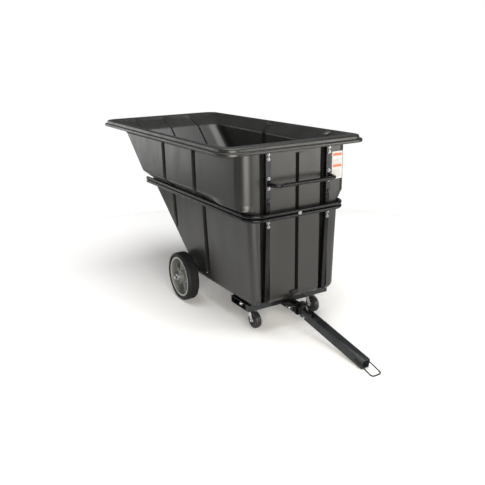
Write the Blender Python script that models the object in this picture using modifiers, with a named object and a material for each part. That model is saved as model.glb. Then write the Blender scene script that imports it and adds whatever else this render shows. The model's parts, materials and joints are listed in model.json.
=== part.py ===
"""Towable tipping truck: a moulded tub on a short steel chassis, with two large wheels on a
through axle near its middle, two swivel casters under the push end and a hinged tow bar.

Frame: metres, +X towards the push and tow end, +Y to the left, +Z up, the floor at Z = 0 and
the origin below the middle of the overall box. Depths along X are given from the tub's front wall.
"""
import math

import bmesh
import bpy
from mathutils import Matrix, Vector

# ---------------------------------------------------------------- driving dimensions
GAP = 0.0003                    # clearance kept between neighbouring solids

RIM_HALF = 0.545                # half width over the lip of the rim
RIM_TOP = 1.245
LIP_BOTTOM = 1.206
RIM_FRONT = 0.051               # lip ahead of the front wall
RIM_REAR = -2.066               # lip behind the front wall
RIM_CORNER = 0.11
WALL = 0.008                    # moulded wall thickness

TUB_BOTTOM = 0.1965
UPPER_HALF = 0.4115             # half width of the tub above the shoulder
SHOULDER_TOP = 0.873
SHOULDER_FOOT = 0.828
WAIST_HALF = 0.350
FOOT_HALF = 0.326               # half width of the tub at its bottom
TUB_CORNER = 0.050              # vertical corner radius
BOTTOM_RADIUS = 0.045
FLARE = 0.034                   # the tub widens towards the rear, per metre
DUMP_X, DUMP_Z = -1.8346, 1.159    # a point of the sloping dump face
DUMP_RUN = 1.07                 # horizontal run of the dump face per metre of height

POST_Y = 0.231
POST_FRONT = 0.018              # front face of a post ahead of the tub's wall
POST_WIDTH, POST_DEPTH = 0.030, 0.028
POST_TOP = 1.196
POST_BEND_Z = 0.725             # below this a post leans back to the chassis
POST_LEAN, POST_FOOT_Z = 0.024, 0.225
RECESS_SHIFT = -0.011           # the recesses sit a little to the right of their posts
STRAP_WIDTH, STRAP_THICK = 0.035, 0.005
STRAP_FOOT, STRAP_TOP = 0.893, 1.203
HANDLE_Z, HANDLE_REACH, HANDLE_R = 1.010, 0.108, 0.0127

RAIL_R, RAIL_X, RAIL_HALF = 0.0125, 0.038, 0.3695
RAIL_REAR = -1.503
RAIL_UPPER_Z, RAIL_LOWER_Z = 0.8168, 0.7912

FRAME_TOP, FRAME_FOOT = 0.196, 0.149
FRAME_HALF = 0.325
FRAME_FRONT, FRAME_REAR = -0.077, -0.302
MEMBER = 0.038                  # depth of the chassis sections
PLATE = 0.004                   # wall of the chassis sections

AXLE_X, AXLE_R, AXLE_END = -0.857, 0.0125, 0.487
WHEEL_R, WHEEL_Y, TYRE_WIDTH = 0.181, 0.413, 0.088
HUB_HALF = 0.050

CASTER_X, CASTER_Y = -0.172, 0.242
CASTER_TRAIL, CASTER_R, CASTER_WIDTH = 0.039, 0.0575, 0.040
FORK_HALF, FORK_STEEL = 0.0285, 0.004

HITCH_Z = 0.1425                # centre of the receiver tube
TOW_X, TOW_Z = 0.145, 0.128     # tow-bar pin
TOW_HALF = 0.030                # half section of the tow bar
TOW_LENGTH = 0.548              # from the pin to the open end
TOW_TAIL = 0.045                # from the pin to the near end
TOW_ANGLE = math.asin((TOW_Z - TOW_HALF * 0.9837) / TOW_LENGTH)    # its end rests on the floor
BAIL_PIVOT, BAIL_RISE, BAIL_R, BAIL_LENGTH = 0.492, 0.005, 0.004, 0.1544
BAIL_HALF = 0.036

COS_TOW, SIN_TOW = math.cos(TOW_ANGLE), math.sin(TOW_ANGLE)
BAIL_X = TOW_X + BAIL_PIVOT * COS_TOW + BAIL_RISE * SIN_TOW
BAIL_Z = TOW_Z - BAIL_PIVOT * SIN_TOW + BAIL_RISE * COS_TOW
BAIL_DROP = math.asin((BAIL_Z - BAIL_R - GAP) / BAIL_LENGTH)
BAIL_END = BAIL_X + BAIL_LENGTH * math.cos(BAIL_DROP) + BAIL_R
FRONT_X = -(RIM_REAR + BAIL_END) / 2    # puts the origin under the middle of the overall length

SIDES = (("left", 1), ("right", -1))

# ---------------------------------------------------------------- scene, collections, materials
for old in list(bpy.data.objects):
    bpy.data.objects.remove(old)

PARTS = bpy.data.collections.new("tilt_truck")
CUTTERS = bpy.data.collections.new("cutters")
for collection in (PARTS, CUTTERS):
    bpy.context.scene.collection.children.link(collection)


def material(name, colour, roughness, metallic):
    """A Principled material with one flat colour."""
    made = bpy.data.materials.new(name)
    made.use_nodes = True
    shader = made.node_tree.nodes["Principled BSDF"]
    shader.inputs["Base Color"].default_value = (*colour, 1.0)
    shader.inputs["Roughness"].default_value = roughness
    shader.inputs["Metallic"].default_value = metallic
    return made


PLASTIC = material("black_polyethylene", (0.055, 0.055, 0.050), 0.45, 0.0)
BLACK_STEEL = material("black_painted_steel", (0.012, 0.012, 0.014), 0.35, 0.0)
GREY_STEEL = material("grey_painted_steel", (0.085, 0.088, 0.090), 0.45, 0.2)
ZINC = material("zinc_plate", (0.62, 0.63, 0.64), 0.30, 0.9)
TYRE = material("tyre_rubber", (0.022, 0.022, 0.023), 0.75, 0.0)
HUB = material("grey_hub", (0.30, 0.31, 0.29), 0.50, 0.0)
TREAD = material("caster_tread", (0.20, 0.20, 0.20), 0.55, 0.0)
LABEL = material("white_label", (0.80, 0.80, 0.78), 0.50, 0.0)
PLUG = material("black_plug", (0.010, 0.010, 0.010), 0.60, 0.0)


# ---------------------------------------------------------------- makers
def place(name, data, look, location=(0, 0, 0), turn=(0, 0, 0), parent=None, where=PARTS):
    """Link one object, give it its material, and put it in place."""
    made = bpy.data.objects.new(name, data)
    where.objects.link(made)
    if look is not None:
        data.materials.append(look)
    made.location, made.rotation_euler = location, turn
    made.parent = parent
    return made


def as_cutter(made):
    """Keep an object only to cut others."""
    made.hide_render, made.display_type = True, "WIRE"
    return made


def cut(made, cutter):
    """Take one solid out of another."""
    step = made.modifiers.new("cut", "BOOLEAN")
    step.operation, step.object = "DIFFERENCE", cutter


def join(made, other):
    """Weld another solid on."""
    step = made.modifiers.new("join", "BOOLEAN")
    step.operation, step.object = "UNION", other


def box_mesh(name, low, high):
    """An axis-aligned box between two corners."""
    shape = bmesh.new()
    bmesh.ops.create_cube(shape, size=1.0)
    low, high = Vector(low), Vector(high)
    size = Matrix.Diagonal((*(high - low), 1.0))
    bmesh.ops.transform(shape, matrix=Matrix.Translation((low + high) / 2) @ size, verts=shape.verts)
    data = bpy.data.meshes.new(name)
    shape.to_mesh(data)
    shape.free()
    return data


def box(name, low, high, look, bevel=0.0, **where):
    made = place(name, box_mesh(name, low, high), look, **where)
    if bevel:
        step = made.modifiers.new("bevel", "BEVEL")
        step.width, step.segments = bevel, 1
    return made


def box_cutter(name, low, high, **where):
    return as_cutter(box(name, low, high, None, where=CUTTERS, **where))


def square_tube(name, low, high, axis, wall, look, **where):
    """A box section, open at both ends, running along one axis."""
    data = box_mesh(name, low, high)
    shape = bmesh.new()
    shape.from_mesh(data)
    ends = [face for face in shape.faces if abs(face.normal[axis]) > 0.9]
    bmesh.ops.delete(shape, geom=ends, context="FACES_ONLY")
    shape.to_mesh(data)
    shape.free()
    made = place(name, data, look, **where)
    rounding = made.modifiers.new("corners", "BEVEL")
    rounding.width, rounding.segments = wall, 2
    shell = made.modifiers.new("wall", "SOLIDIFY")
    shell.thickness, shell.offset = wall * 0.9, -1
    shell.use_even_offset = True
    return made


def rod_mesh(name, radius, length, sides):
    """A cylinder about Z, centred."""
    shape = bmesh.new()
    bmesh.ops.create_cone(shape, cap_ends=True, segments=sides, radius1=radius, radius2=radius,
                          depth=length)
    data = bpy.data.meshes.new(name)
    shape.to_mesh(data)
    shape.free()
    return data


ALONG_X = (0, math.pi / 2, 0)
ALONG_Y = (math.pi / 2, 0, 0)


def hole(name, radius, length, centre, turn, parent=None, sides=20):
    """A round cutter."""
    made = place(name, rod_mesh(name, radius, length, sides), None, centre, turn, parent, CUTTERS)
    return as_cutter(made)


def turned(name, profile, look, centre, turn, parent=None, steps=20):
    """A turned solid about local Z; the profile is (radius, height) from the top down."""
    shape = bmesh.new()
    points = [shape.verts.new((radius, 0, height)) for radius, height in profile]
    for start, end in zip(points, points[1:]):
        shape.edges.new((start, end))
    data = bpy.data.meshes.new(name)
    shape.to_mesh(data)
    shape.free()
    made = place(name, data, look, centre, turn, parent)
    spin = made.modifiers.new("turn", "SCREW")
    spin.steps = spin.render_steps = steps
    spin.use_merge_vertices, spin.merge_threshold = True, 0.00001
    spin.use_smooth_shade = False
    return made


def rounded(points, radius, steps=4):
    """A polyline whose inner corners are replaced by arcs."""
    points = [Vector(point) for point in points]
    path = [points[0]]
    for before, corner, after in zip(points, points[1:], points[2:]):
        to_start, to_end = (before - corner).normalized(), (after - corner).normalized()
        half = to_start.angle(to_end) / 2
        run = radius / math.tan(half)
        centre = corner + (to_start + to_end).normalized() * radius / math.sin(half)
        start, end = corner + to_start * run - centre, corner + to_end * run - centre
        sweep = start.angle(end)
        for step in range(steps + 1):
            share = step / steps
            mixed = start * math.sin((1 - share) * sweep) + end * math.sin(share * sweep)
            path.append(centre + mixed / math.sin(sweep))
    return path + [points[-1]]


def bent_rod(name, path, radius, look, closed=False, wall=0.0, resolution=2, **where):
    """A round wire or, with a wall, an open-ended tube along a path."""
    curve = bpy.data.curves.new(name, "CURVE")
    curve.dimensions, curve.bevel_depth, curve.bevel_resolution = "3D", radius, resolution
    curve.use_fill_caps = not wall and not closed
    line = curve.splines.new("POLY")
    line.points.add(len(path) - 1)
    line.use_cyclic_u = closed
    for slot, point in zip(line.points, path):
        slot.co = (*point, 1.0)
    made = place(name, curve, look, **where)
    if wall:
        shell = made.modifiers.new("wall", "SOLIDIFY")
        shell.thickness, shell.offset = wall, -1
    return made


def plate(name, outline, thickness, look, centre, turn, parent=None, where=PARTS):
    """A flat plate: a 2D outline, filled and given its thickness, as a mesh."""
    curve = bpy.data.curves.new(name + "_outline", "CURVE")
    curve.dimensions, curve.fill_mode, curve.extrude = "2D", "BOTH", thickness / 2
    line = curve.splines.new("POLY")
    line.points.add(len(outline) - 1)
    line.use_cyclic_u = True
    for slot, (across, up) in zip(line.points, outline):
        slot.co = (across, up, 0, 1.0)
    drawn = bpy.data.objects.new(name + "_outline", curve)
    bpy.context.scene.collection.objects.link(drawn)
    graph = bpy.context.evaluated_depsgraph_get()
    data = bpy.data.meshes.new_from_object(drawn.evaluated_get(graph))
    bpy.data.objects.remove(drawn)
    shape = bmesh.new()
    shape.from_mesh(data)
    bmesh.ops.remove_doubles(shape, verts=shape.verts, dist=0.00001)
    bmesh.ops.recalc_face_normals(shape, faces=shape.faces)
    shape.to_mesh(data)
    shape.free()
    data.name = name
    return place(name, data, look, centre, turn, parent, where)


def arc(centre, radius, start, end, steps):
    """Points of an arc in a plane, angles in degrees."""
    turn = (math.radians(start + (end - start) * step / steps) for step in range(steps + 1))
    return [(centre[0] + radius * math.cos(a), centre[1] + radius * math.sin(a)) for a in turn]


# ---------------------------------------------------------------- the moulded tub
CENTRE_HALF, CENTRE_DEPTH = 0.008, 0.016       # the groove up the middle of the front
SIDE_HALF, SIDE_SLOPE, SIDE_DEPTH = 0.022, 0.014, 0.026
RIGHT_GROOVES = (-1.069, -0.599)        # outside grooves of the right-hand side
RIB_HALF, RIB_DEPTH = 0.020, 0.018
LEFT_RIBS = (-1.017, -0.252)            # grooves inside the left-hand side show as ribs outside
DUMP_HALF, DUMP_DEPTH = 0.006, 0.016
DUMP_RIBS = (-0.245, 0.0, 0.245)        # ribs inside the dump face are grooves outside
RAIL_ZONE = (0.755, 0.900)              # the ribs leave room for the waist rails
SLOPE = 0.003                           # run of a steep groove wall


def dump_x(z):
    """Outer surface of the dump face at a height."""
    return DUMP_X - DUMP_RUN * (z - DUMP_Z)


def recess_x(z):
    """Back of the recess behind a post."""
    upper, lower = -0.030, -0.055
    if z >= POST_BEND_Z:
        return upper
    if z >= POST_FOOT_Z:
        return upper + (lower - upper) * (POST_BEND_Z - z) / (POST_BEND_Z - POST_FOOT_Z)
    return lower - 1.9 * (POST_FOOT_Z - z)


def recess_half(z):
    """The recess is a little narrower in the slimmer lower tub."""
    return 0.042 if z > SHOULDER_TOP - 0.001 else 0.036


def edged(centres, half, slope):
    """Stations at the top and foot of each groove's two walls."""
    return [centre + side * (half + extra) for centre in centres
            for side, extra in ((-1, slope), (-1, 0), (1, 0), (1, slope))]


def fitted(wanted, low, high, gap=0.0015):
    """Stations kept in order between two ends that may cross them."""
    count = len(wanted)
    kept = [max(value, low + gap * (order + 1)) for order, value in enumerate(sorted(wanted))]
    return [min(value, high - gap * (count - order)) for order, value in enumerate(kept)]


def in_groove(order):
    """True for the two middle stations of each groove's four."""
    return order % 4 in (1, 2)


def has_room(order, centres, rear_end):
    """A groove in a side ends where the dump face comes near it."""
    return rear_end < centres[order // 4] - 0.06


def tub_ring(level, skin):
    """One level of a tub surface, counter-clockwise from above; the skin is its depth inside."""
    z, front, rear, half, radius, flare = level["shape"]
    sides_cut, posts_cut, centre_cut, dump_cut = level["cuts"]
    low_x, high_x, edge = rear + radius, front - radius, half - radius
    ring = []
    recess = recess_half(z) + skin
    stations = edged((RECESS_SHIFT - POST_Y,), recess, SLOPE) + edged((0,), CENTRE_HALF + skin, SLOPE)
    stations += edged((RECESS_SHIFT + POST_Y,), recess, SLOPE)
    for order, y in enumerate(fitted(stations, -edge, edge)):
        x = front
        if in_groove(order) and order // 4 == 1:
            x = front - CENTRE_DEPTH * centre_cut
        elif in_groove(order) and posts_cut:
            x = min(front, recess_x(z) - skin * 1.1)
        ring.append((x, y))
    ring += arc((high_x, edge), radius, 0, 90, 4)
    stations = fitted(edged(LEFT_RIBS, RIB_HALF - skin, SLOPE), low_x, high_x)
    rib = 0 if RAIL_ZONE[0] < z < RAIL_ZONE[1] else RIB_DEPTH * sides_cut
    ring += [(x, half + rib * in_groove(order) * has_room(order, LEFT_RIBS, low_x))
             for order, x in reversed(list(enumerate(stations)))]
    ring += arc((low_x, edge), radius, 90, 180, 4)
    stations = fitted(edged(DUMP_RIBS, DUMP_HALF + skin, SLOPE), -edge, edge)
    ring += [(rear + DUMP_DEPTH * dump_cut * in_groove(order), y)
             for order, y in reversed(list(enumerate(stations)))]
    ring += arc((low_x, -edge), radius, 180, 270, 4)
    stations = fitted(edged(RIGHT_GROOVES, SIDE_HALF + skin, SIDE_SLOPE), low_x, high_x)
    ring += [(x, -half + SIDE_DEPTH * sides_cut * in_groove(order)
              * has_room(order, RIGHT_GROOVES, low_x)) for order, x in enumerate(stations)]
    ring += arc((high_x, -edge), radius, 270, 360, 4)
    return [Vector((FRONT_X + x, y * (1 - flare * x), z)) for x, y in ring]


def wall_level(z, half, skin, inset=0.0, cuts=(0, 1, 0, 0)):
    """A level of the walls; the inset rounds the bottom edge."""
    across = 1.464                  # the dump face's thickness measured level
    shape = (z, -inset - skin, dump_x(z) + inset * 0.55 + skin * across,
             half - inset / 2 - skin, TUB_CORNER - inset / 2 - skin, FLARE)
    return {"shape": shape, "cuts": cuts}


def lower_half(z):
    """Half width of the drafted walls below the waist."""
    return FOOT_HALF + (WAIST_HALF - FOOT_HALF) * (z - TUB_BOTTOM) / (SHOULDER_FOOT - TUB_BOTTOM)


def wall_levels(skin):
    """The tub's walls from the bottom to below the rim."""
    levels = []
    radius = BOTTOM_RADIUS - skin
    for degrees in (0, 30, 60, 90):
        angle = math.radians(degrees)
        z = TUB_BOTTOM + BOTTOM_RADIUS - radius * math.cos(angle)
        levels.append(wall_level(z, lower_half(z), skin, radius * (1 - math.sin(angle))))
    every = (1, 1, 1, 1)
    for z, cuts in ((0.258, (0, 1, 1, 0)), (0.268, every), (0.30, every), (POST_BEND_Z, every),
                    (0.750, every), (0.762, every), (SHOULDER_FOOT, every)):
        levels.append(wall_level(z, lower_half(z), skin, cuts=cuts))
    for z, cuts in ((SHOULDER_TOP, every), (0.907, every), (1.148, every), (1.157, (0, 1, 1, 1)),
                    (1.170, (0, 1, 1, 0)), (1.176, (0, 1, 0, 0)), (1.199, (0, 1, 0, 0)),
                    (1.204, (0, 0, 0, 0))):
        levels.append(wall_level(z, UPPER_HALF, skin, cuts=cuts))
    return levels


LEDGE = -0.052                  # the rim runs this far in over the front wall


def rim_level(front_share, share, z, skin=0.0):
    """A level of the rim, a share of the way from the wall out to the lip."""
    rear = dump_x(1.215)
    shape = (z, LEDGE - skin + (RIM_FRONT - LEDGE + skin) * front_share,
             rear + skin * 1.464 + (RIM_REAR - rear - skin * 1.464) * share,
             UPPER_HALF - skin + (RIM_HALF - UPPER_HALF + skin) * share,
             TUB_CORNER - skin + (RIM_CORNER - TUB_CORNER + skin) * share, FLARE * (1 - share))
    return {"shape": shape, "cuts": (0, 0, 0, 0)}


def make_tub():
    """Outer rings from the bottom up and out to the lip, then inner rings back down. Under the
    rim the sides and the dump face flare outwards; the front steps inwards instead."""
    under = RIM_TOP - WALL
    below_rim = [rim_level(front_share, share, z) for front_share, share, z in
                 ((0.0, 0.15, 1.211), (0.02, 0.375, under - 0.010), (0.10, 0.50, under),
                  (0.78, 0.78, under), (0.84, 0.84, under - 0.006), (0.87, 0.87, 1.2105),
                  (0.90, 0.90, LIP_BOTTOM), (1.0, 1.0, LIP_BOTTOM))]
    above_rim = [rim_level(front_share, share, z, WALL) for front_share, share, z in
                 ((1.0, 1.0, LIP_BOTTOM + 0.006), (0.95, 0.95, 1.215), (0.92, 0.92, RIM_TOP - 0.012),
                  (0.85, 0.85, RIM_TOP), (0.14, 0.56, RIM_TOP), (0.04, 0.49, RIM_TOP - 0.004),
                  (0.0, 0.32, RIM_TOP - 0.016), (0.0, 0.11, 1.213))]
    rings = [(level, 0.0) for level in wall_levels(0.0) + below_rim]
    rings += [(level, WALL) for level in above_rim + wall_levels(WALL)[::-1]]
    shape = bmesh.new()
    rings = [[shape.verts.new(point) for point in tub_ring(level, skin)] for level, skin in rings]
    for below, above in zip(rings, rings[1:]):
        for order in range(len(below)):
            after = (order + 1) % len(below)
            shape.faces.new((below[order], below[after], above[after], above[order]))
    shape.faces.new(reversed(rings[0]))
    shape.faces.new(rings[-1])
    bmesh.ops.dissolve_limit(shape, angle_limit=math.radians(0.5), verts=shape.verts,
                             edges=shape.edges)
    data = bpy.data.meshes.new("tub")
    shape.to_mesh(data)
    shape.free()
    return place("tub", data, PLASTIC)


# ---------------------------------------------------------------- posts, handle and waist rails
TOP_BOLTS, HANDLE_BOLTS, LOWER_BOLTS = (1.188, 1.160), (1.041, 0.980), (0.765, 0.738)
BOLT_R, BOLT_HEAD_R = 0.004, 0.011
HOLE_MARGIN = 0.0004


def dome_bolt(name, face_x, y, z):
    """A washer-headed bolt whose head stands on a face that looks along +X."""
    profile = [(0, 0.0085), (0.0070, 0.0065), (BOLT_HEAD_R, 0.0020), (BOLT_HEAD_R, GAP),
               (BOLT_R, GAP), (BOLT_R, -0.013), (0, -0.013)]
    return turned(name, profile, ZINC, (FRONT_X + face_x, y, z), ALONG_X, steps=10)


def make_posts():
    back = POST_FRONT - POST_DEPTH
    foot_front = FRAME_FRONT
    outline = [(POST_FRONT, POST_TOP), (back, POST_TOP), (back, POST_BEND_Z),
               (back - POST_LEAN, POST_FOOT_Z), (foot_front - POST_DEPTH, FRAME_TOP + GAP),
               (foot_front, FRAME_TOP + GAP), (POST_FRONT - POST_LEAN, POST_FOOT_Z),
               (POST_FRONT, POST_BEND_Z)]
    for side, sign in SIDES:
        y = sign * POST_Y
        post = plate(f"post_{side}", outline, POST_WIDTH, BLACK_STEEL, (FRONT_X, y, 0), ALONG_Y)
        strap = box(f"handle_bracket_{side}",
                    (FRONT_X + POST_FRONT + GAP, y - STRAP_WIDTH / 2, STRAP_FOOT),
                    (FRONT_X + POST_FRONT + GAP + STRAP_THICK, y + STRAP_WIDTH / 2, STRAP_TOP),
                    GREY_STEEL)
        strap_face = POST_FRONT + GAP + STRAP_THICK
        for order, z in enumerate(TOP_BOLTS + HANDLE_BOLTS):
            bore = hole(f"bore_{side}_{order}", BOLT_R + HOLE_MARGIN, 0.04,
                        (FRONT_X + POST_FRONT + 0.003, y, z), ALONG_X, sides=12)
            cut(strap, bore)
            cut(post, bore)
        for order, z in enumerate(LOWER_BOLTS):
            cut(post, hole(f"lower_bore_{side}_{order}", BOLT_R + HOLE_MARGIN, 0.04,
                           (FRONT_X + POST_FRONT, y, z), ALONG_X, sides=12))
        cut(strap, hole(f"handle_bore_{side}", HANDLE_R + GAP, 0.03,
                        (FRONT_X + strap_face, y, HANDLE_Z), ALONG_X))
        for order, z in enumerate(TOP_BOLTS):
            dome_bolt(f"bracket_bolt_{side}_{order + 1}", strap_face, y, z)
        for order, z in enumerate(HANDLE_BOLTS):
            dome_bolt(f"handle_bolt_{side}_{order + 1}", strap_face, y, z)
        for order, z in enumerate(LOWER_BOLTS):
            dome_bolt(f"post_bolt_{side}_{order + 1}", POST_FRONT, y, z)
        turned(f"bumper_{side}", [(0, 0.012), (0.009, 0.012), (0.012, 0.008), (0.012, GAP), (0, GAP)],
               PLUG, (FRONT_X + strap_face, y, STRAP_FOOT + 0.014), ALONG_X, steps=14)


def make_handle():
    start = FRONT_X + POST_FRONT + 2 * GAP
    reach = FRONT_X + HANDLE_REACH
    corners = [(start, -POST_Y, HANDLE_Z), (reach, -POST_Y, HANDLE_Z), (reach, POST_Y, HANDLE_Z),
               (start, POST_Y, HANDLE_Z)]
    bent_rod("push_handle", rounded(corners, 0.045, 5), HANDLE_R, BLACK_STEEL, wall=0.002)


def make_rails():
    rear_half = RAIL_HALF * (1 + FLARE * -RAIL_REAR) - 0.002
    for name, z in (("waist_rail_upper", RAIL_UPPER_Z), ("waist_rail_lower", RAIL_LOWER_Z)):
        corners = [(FRONT_X + RAIL_REAR, -rear_half, z), (FRONT_X + RAIL_X, -RAIL_HALF, z),
                   (FRONT_X + RAIL_X, RAIL_HALF, z), (FRONT_X + RAIL_REAR, rear_half, z)]
        bent_rod(name, rounded(corners, 0.095, 5), RAIL_R, BLACK_STEEL, wall=0.0025)
    button = [(0, 0.008), (0.007, 0.007), (0.009, 0.003), (0.013, 0.002), (0.013, GAP), (0, GAP)]
    turned("rail_centre_bolt", button, ZINC,
           (FRONT_X + RAIL_X + RAIL_R, -0.013, (RAIL_UPPER_Z + RAIL_LOWER_Z) / 2), ALONG_X, steps=14)


# ---------------------------------------------------------------- chassis and axle
def channel(name, low, high, opening, look):
    """A folded channel with closed ends: a box hollowed from one side."""
    made = box(name, low, high, look)
    inner_low = [value + PLATE for value in low]
    inner_high = [value - PLATE for value in high]
    axis, sign = opening
    if sign > 0:
        inner_high[axis] = high[axis] + 0.01
    else:
        inner_low[axis] = low[axis] - 0.01
    cut(made, box_cutter(name + "_hollow", inner_low, inner_high))
    return made


def make_chassis():
    front, rear = FRONT_X + FRAME_FRONT, FRONT_X + FRAME_REAR
    cross = channel("front_crossmember", (front - MEMBER, -FRAME_HALF, FRAME_FOOT),
                    (front, FRAME_HALF, FRAME_TOP), (0, -1), GREY_STEEL)
    receiver_room = box_cutter("receiver_room", (front - MEMBER - 0.01, -0.0303, FRAME_FOOT - 0.01),
                               (front + 0.02, 0.0303, HITCH_Z + 0.0303))
    cut(cross, receiver_room)
    for side, sign in SIDES:
        ys = sorted((sign * FRAME_HALF, sign * (FRAME_HALF - MEMBER)))
        channel(f"side_member_{side}", (rear, ys[0], FRAME_FOOT),
                (front - MEMBER - GAP, ys[1], FRAME_TOP), (1, sign), BLACK_STEEL)
    inner = FRAME_HALF - MEMBER - GAP
    channel("rear_crossmember", (rear, -inner, FRAME_FOOT), (rear + MEMBER, inner, FRAME_TOP),
            (2, -1), BLACK_STEEL)
    half_wide = (0.145, 0.105)
    foot, top = 0.153, FRAME_TOP - GAP
    outline = [(-half_wide[0], foot), (-0.0303, foot), (-0.0303, HITCH_Z + 0.0303),
               (0.0303, HITCH_Z + 0.0303), (0.0303, foot), (half_wide[0], foot),
               (half_wide[1], top), (-half_wide[1], top)]
    plate("hitch_plate", outline, 0.006, BLACK_STEEL, (front + GAP + 0.003, 0, 0),
          (math.pi / 2, 0, math.pi / 2))


def make_axle():
    """Two cradle plates under the tub carry the through axle."""
    axle_x = FRONT_X + AXLE_X
    top = FRAME_TOP - GAP
    boss = arc((AXLE_X, WHEEL_R), 0.030, 75, 270, 8)
    outline = [(FRAME_REAR - GAP, FRAME_FOOT), (FRAME_REAR - GAP, top), (AXLE_X + 0.06, top)]
    outline += boss + [(AXLE_X + 0.05, FRAME_FOOT)]
    collar_in, collar_out, collar_r = 0.354, WHEEL_Y - HUB_HALF - 0.0006, 0.018
    profile = [(0, AXLE_END), (AXLE_R, AXLE_END), (AXLE_R, collar_out), (collar_r, collar_out),
               (collar_r, collar_in), (AXLE_R, collar_in)]
    profile += [(radius, -height) for radius, height in reversed(profile)]
    axle = turned("axle", profile, ZINC, (axle_x, 0, WHEEL_R), ALONG_Y, steps=20)
    for side, sign in SIDES:
        bearer = plate(f"axle_cradle_{side}", outline, 0.012, BLACK_STEEL,
                       (FRONT_X, sign * 0.19, 0), ALONG_Y)
        cut(bearer, hole(f"axle_bore_{side}", AXLE_R + GAP * 2, 0.03,
                         (axle_x, sign * 0.19, WHEEL_R), ALONG_Y, sides=20))
        washer_in = WHEEL_Y + HUB_HALF + 0.0006
        rim_of_washer = [(0.0132, washer_in + 0.003), (0.020, washer_in + 0.003),
                         (0.020, washer_in), (0.0132, washer_in), (0.0132, washer_in + 0.003)]
        turned(f"axle_washer_{side}", [(radius, -sign * height) for radius, height in
                                       (rim_of_washer if sign < 0 else reversed(rim_of_washer))],
               ZINC, (axle_x, 0, WHEEL_R), ALONG_Y, steps=14)
        pin_y = sign * (washer_in + 0.009)
        cut(axle, hole(f"cotter_bore_{side}", 0.0029, 0.05, (axle_x, pin_y, WHEEL_R), (0, 0, 0),
                       sides=12))
        turned(f"axle_cotter_{side}", [(0, 0.019), (0.005, 0.019), (0.005, 0.0145), (0.0025, 0.0145),
                                       (0.0025, -0.020), (0, -0.020)],
               ZINC, (axle_x, pin_y, WHEEL_R), (0, 0, 0), steps=10)


# ---------------------------------------------------------------- road wheels
def make_road_wheels():
    """Turned about Y; the profile's height is the distance out from the wheel's middle."""
    seat_r, half = 0.150, TYRE_WIDTH / 2
    bore = AXLE_R + 0.0005
    shoulder = 0.012
    tyre_profile = [(seat_r + 0.0016, half - 0.004), (seat_r + 0.010, half),
                    (WHEEL_R - shoulder, half), (WHEEL_R, half - 0.016), (WHEEL_R, -half + 0.016),
                    (WHEEL_R - shoulder, -half), (seat_r + 0.010, -half),
                    (seat_r + 0.0016, -half + 0.004), (seat_r + 0.0016, half - 0.004)]
    rim_profile = [(bore, HUB_HALF), (0.030, HUB_HALF), (0.038, 0.018), (0.128, 0.014),
                   (0.138, 0.033), (seat_r, 0.033), (seat_r, -0.033), (0.138, -0.033),
                   (0.128, 0.004), (0.038, 0.004), (0.030, -HUB_HALF), (bore, -HUB_HALF),
                   (bore, HUB_HALF)]
    for side, sign in SIDES:
        centre = (FRONT_X + AXLE_X, sign * WHEEL_Y, WHEEL_R)
        turn = (-sign * math.pi / 2, 0, 0)
        turned(f"wheel_tyre_{side}", tyre_profile, TYRE, centre, turn, steps=28)
        turned(f"wheel_rim_{side}", rim_profile, HUB, centre, turn, steps=20)


# ---------------------------------------------------------------- swivel casters
def make_casters():
    for side, sign in SIDES:
        y = sign * CASTER_Y
        swivel = bpy.data.objects.new(f"caster_swivel_axis_{side}", None)
        PARTS.objects.link(swivel)
        swivel.location = (FRONT_X + CASTER_X, y, 0)
        ys = sorted((sign * 0.190, sign * 0.318))
        plate_top = FRAME_FOOT - GAP
        box(f"caster_plate_{side}", (FRONT_X + CASTER_X - 0.052, ys[0] + 0.012, plate_top - 0.004),
            (FRONT_X + CASTER_X + 0.075, ys[1], plate_top), ZINC, bevel=0.001)
        race_top = plate_top - 0.004 - GAP
        turned(f"caster_kingpin_{side}",
               [(0, race_top), (0.023, race_top), (0.023, race_top - 0.009), (0.006, race_top - 0.0125),
                (0.006, 0.1215), (0.011, 0.1210), (0.011, 0.1172), (0, 0.1172)],
               ZINC, (0, 0, 0), (0, 0, 0), swivel, steps=20)
        top, under = 0.1295, 0.1245
        body = box(f"caster_fork_{side}", (-0.024, -FORK_HALF, under), (0.026, FORK_HALF, top), ZINC,
                   parent=swivel)
        leg = [(-0.022, top - 0.001), (0.026, top - 0.001)]
        leg += arc((CASTER_TRAIL, CASTER_R), 0.012, 40, -130, 6)
        for mark, where_y in (("a", FORK_STEEL / 2 - FORK_HALF), ("b", FORK_HALF - FORK_STEEL / 2)):
            wing = plate(f"fork_leg_{side}_{mark}", leg, FORK_STEEL, None, (0, where_y, 0), ALONG_Y, swivel,
                         CUTTERS)
            join(body, as_cutter(wing))
        cut(body, hole(f"kingpin_bore_{side}", 0.0066, 0.03, (0, 0, top), (0, 0, 0), swivel))
        cut(body, hole(f"caster_axle_bore_{side}", 0.0054, 0.08, (CASTER_TRAIL, 0, CASTER_R),
                       ALONG_Y, swivel, sides=16))
        half = CASTER_WIDTH / 2
        bore = 0.0056
        tread = [(bore, half + 0.003), (0.014, half + 0.003), (0.016, half),
                 (CASTER_R - 0.006, half), (CASTER_R, half - 0.007)]
        tread += [(radius, -height) for radius, height in reversed(tread)] + [tread[0]]
        turned(f"caster_wheel_{side}", tread, TREAD, (CASTER_TRAIL, 0, CASTER_R), ALONG_Y, swivel,
               steps=20)
        turned(f"caster_bolt_{side}",
               [(0, FORK_HALF + 0.0065), (0.009, FORK_HALF + 0.0065), (0.009, FORK_HALF + 0.0005),
                (0.005, FORK_HALF + 0.0005), (0.005, -FORK_HALF - 0.0005),
                (0.0085, -FORK_HALF - 0.0005), (0.0085, -FORK_HALF - 0.0075), (0, -FORK_HALF - 0.0075)],
               ZINC, (CASTER_TRAIL, 0, CASTER_R), (sign * math.pi / 2, 0, 0), swivel, steps=14)


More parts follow.
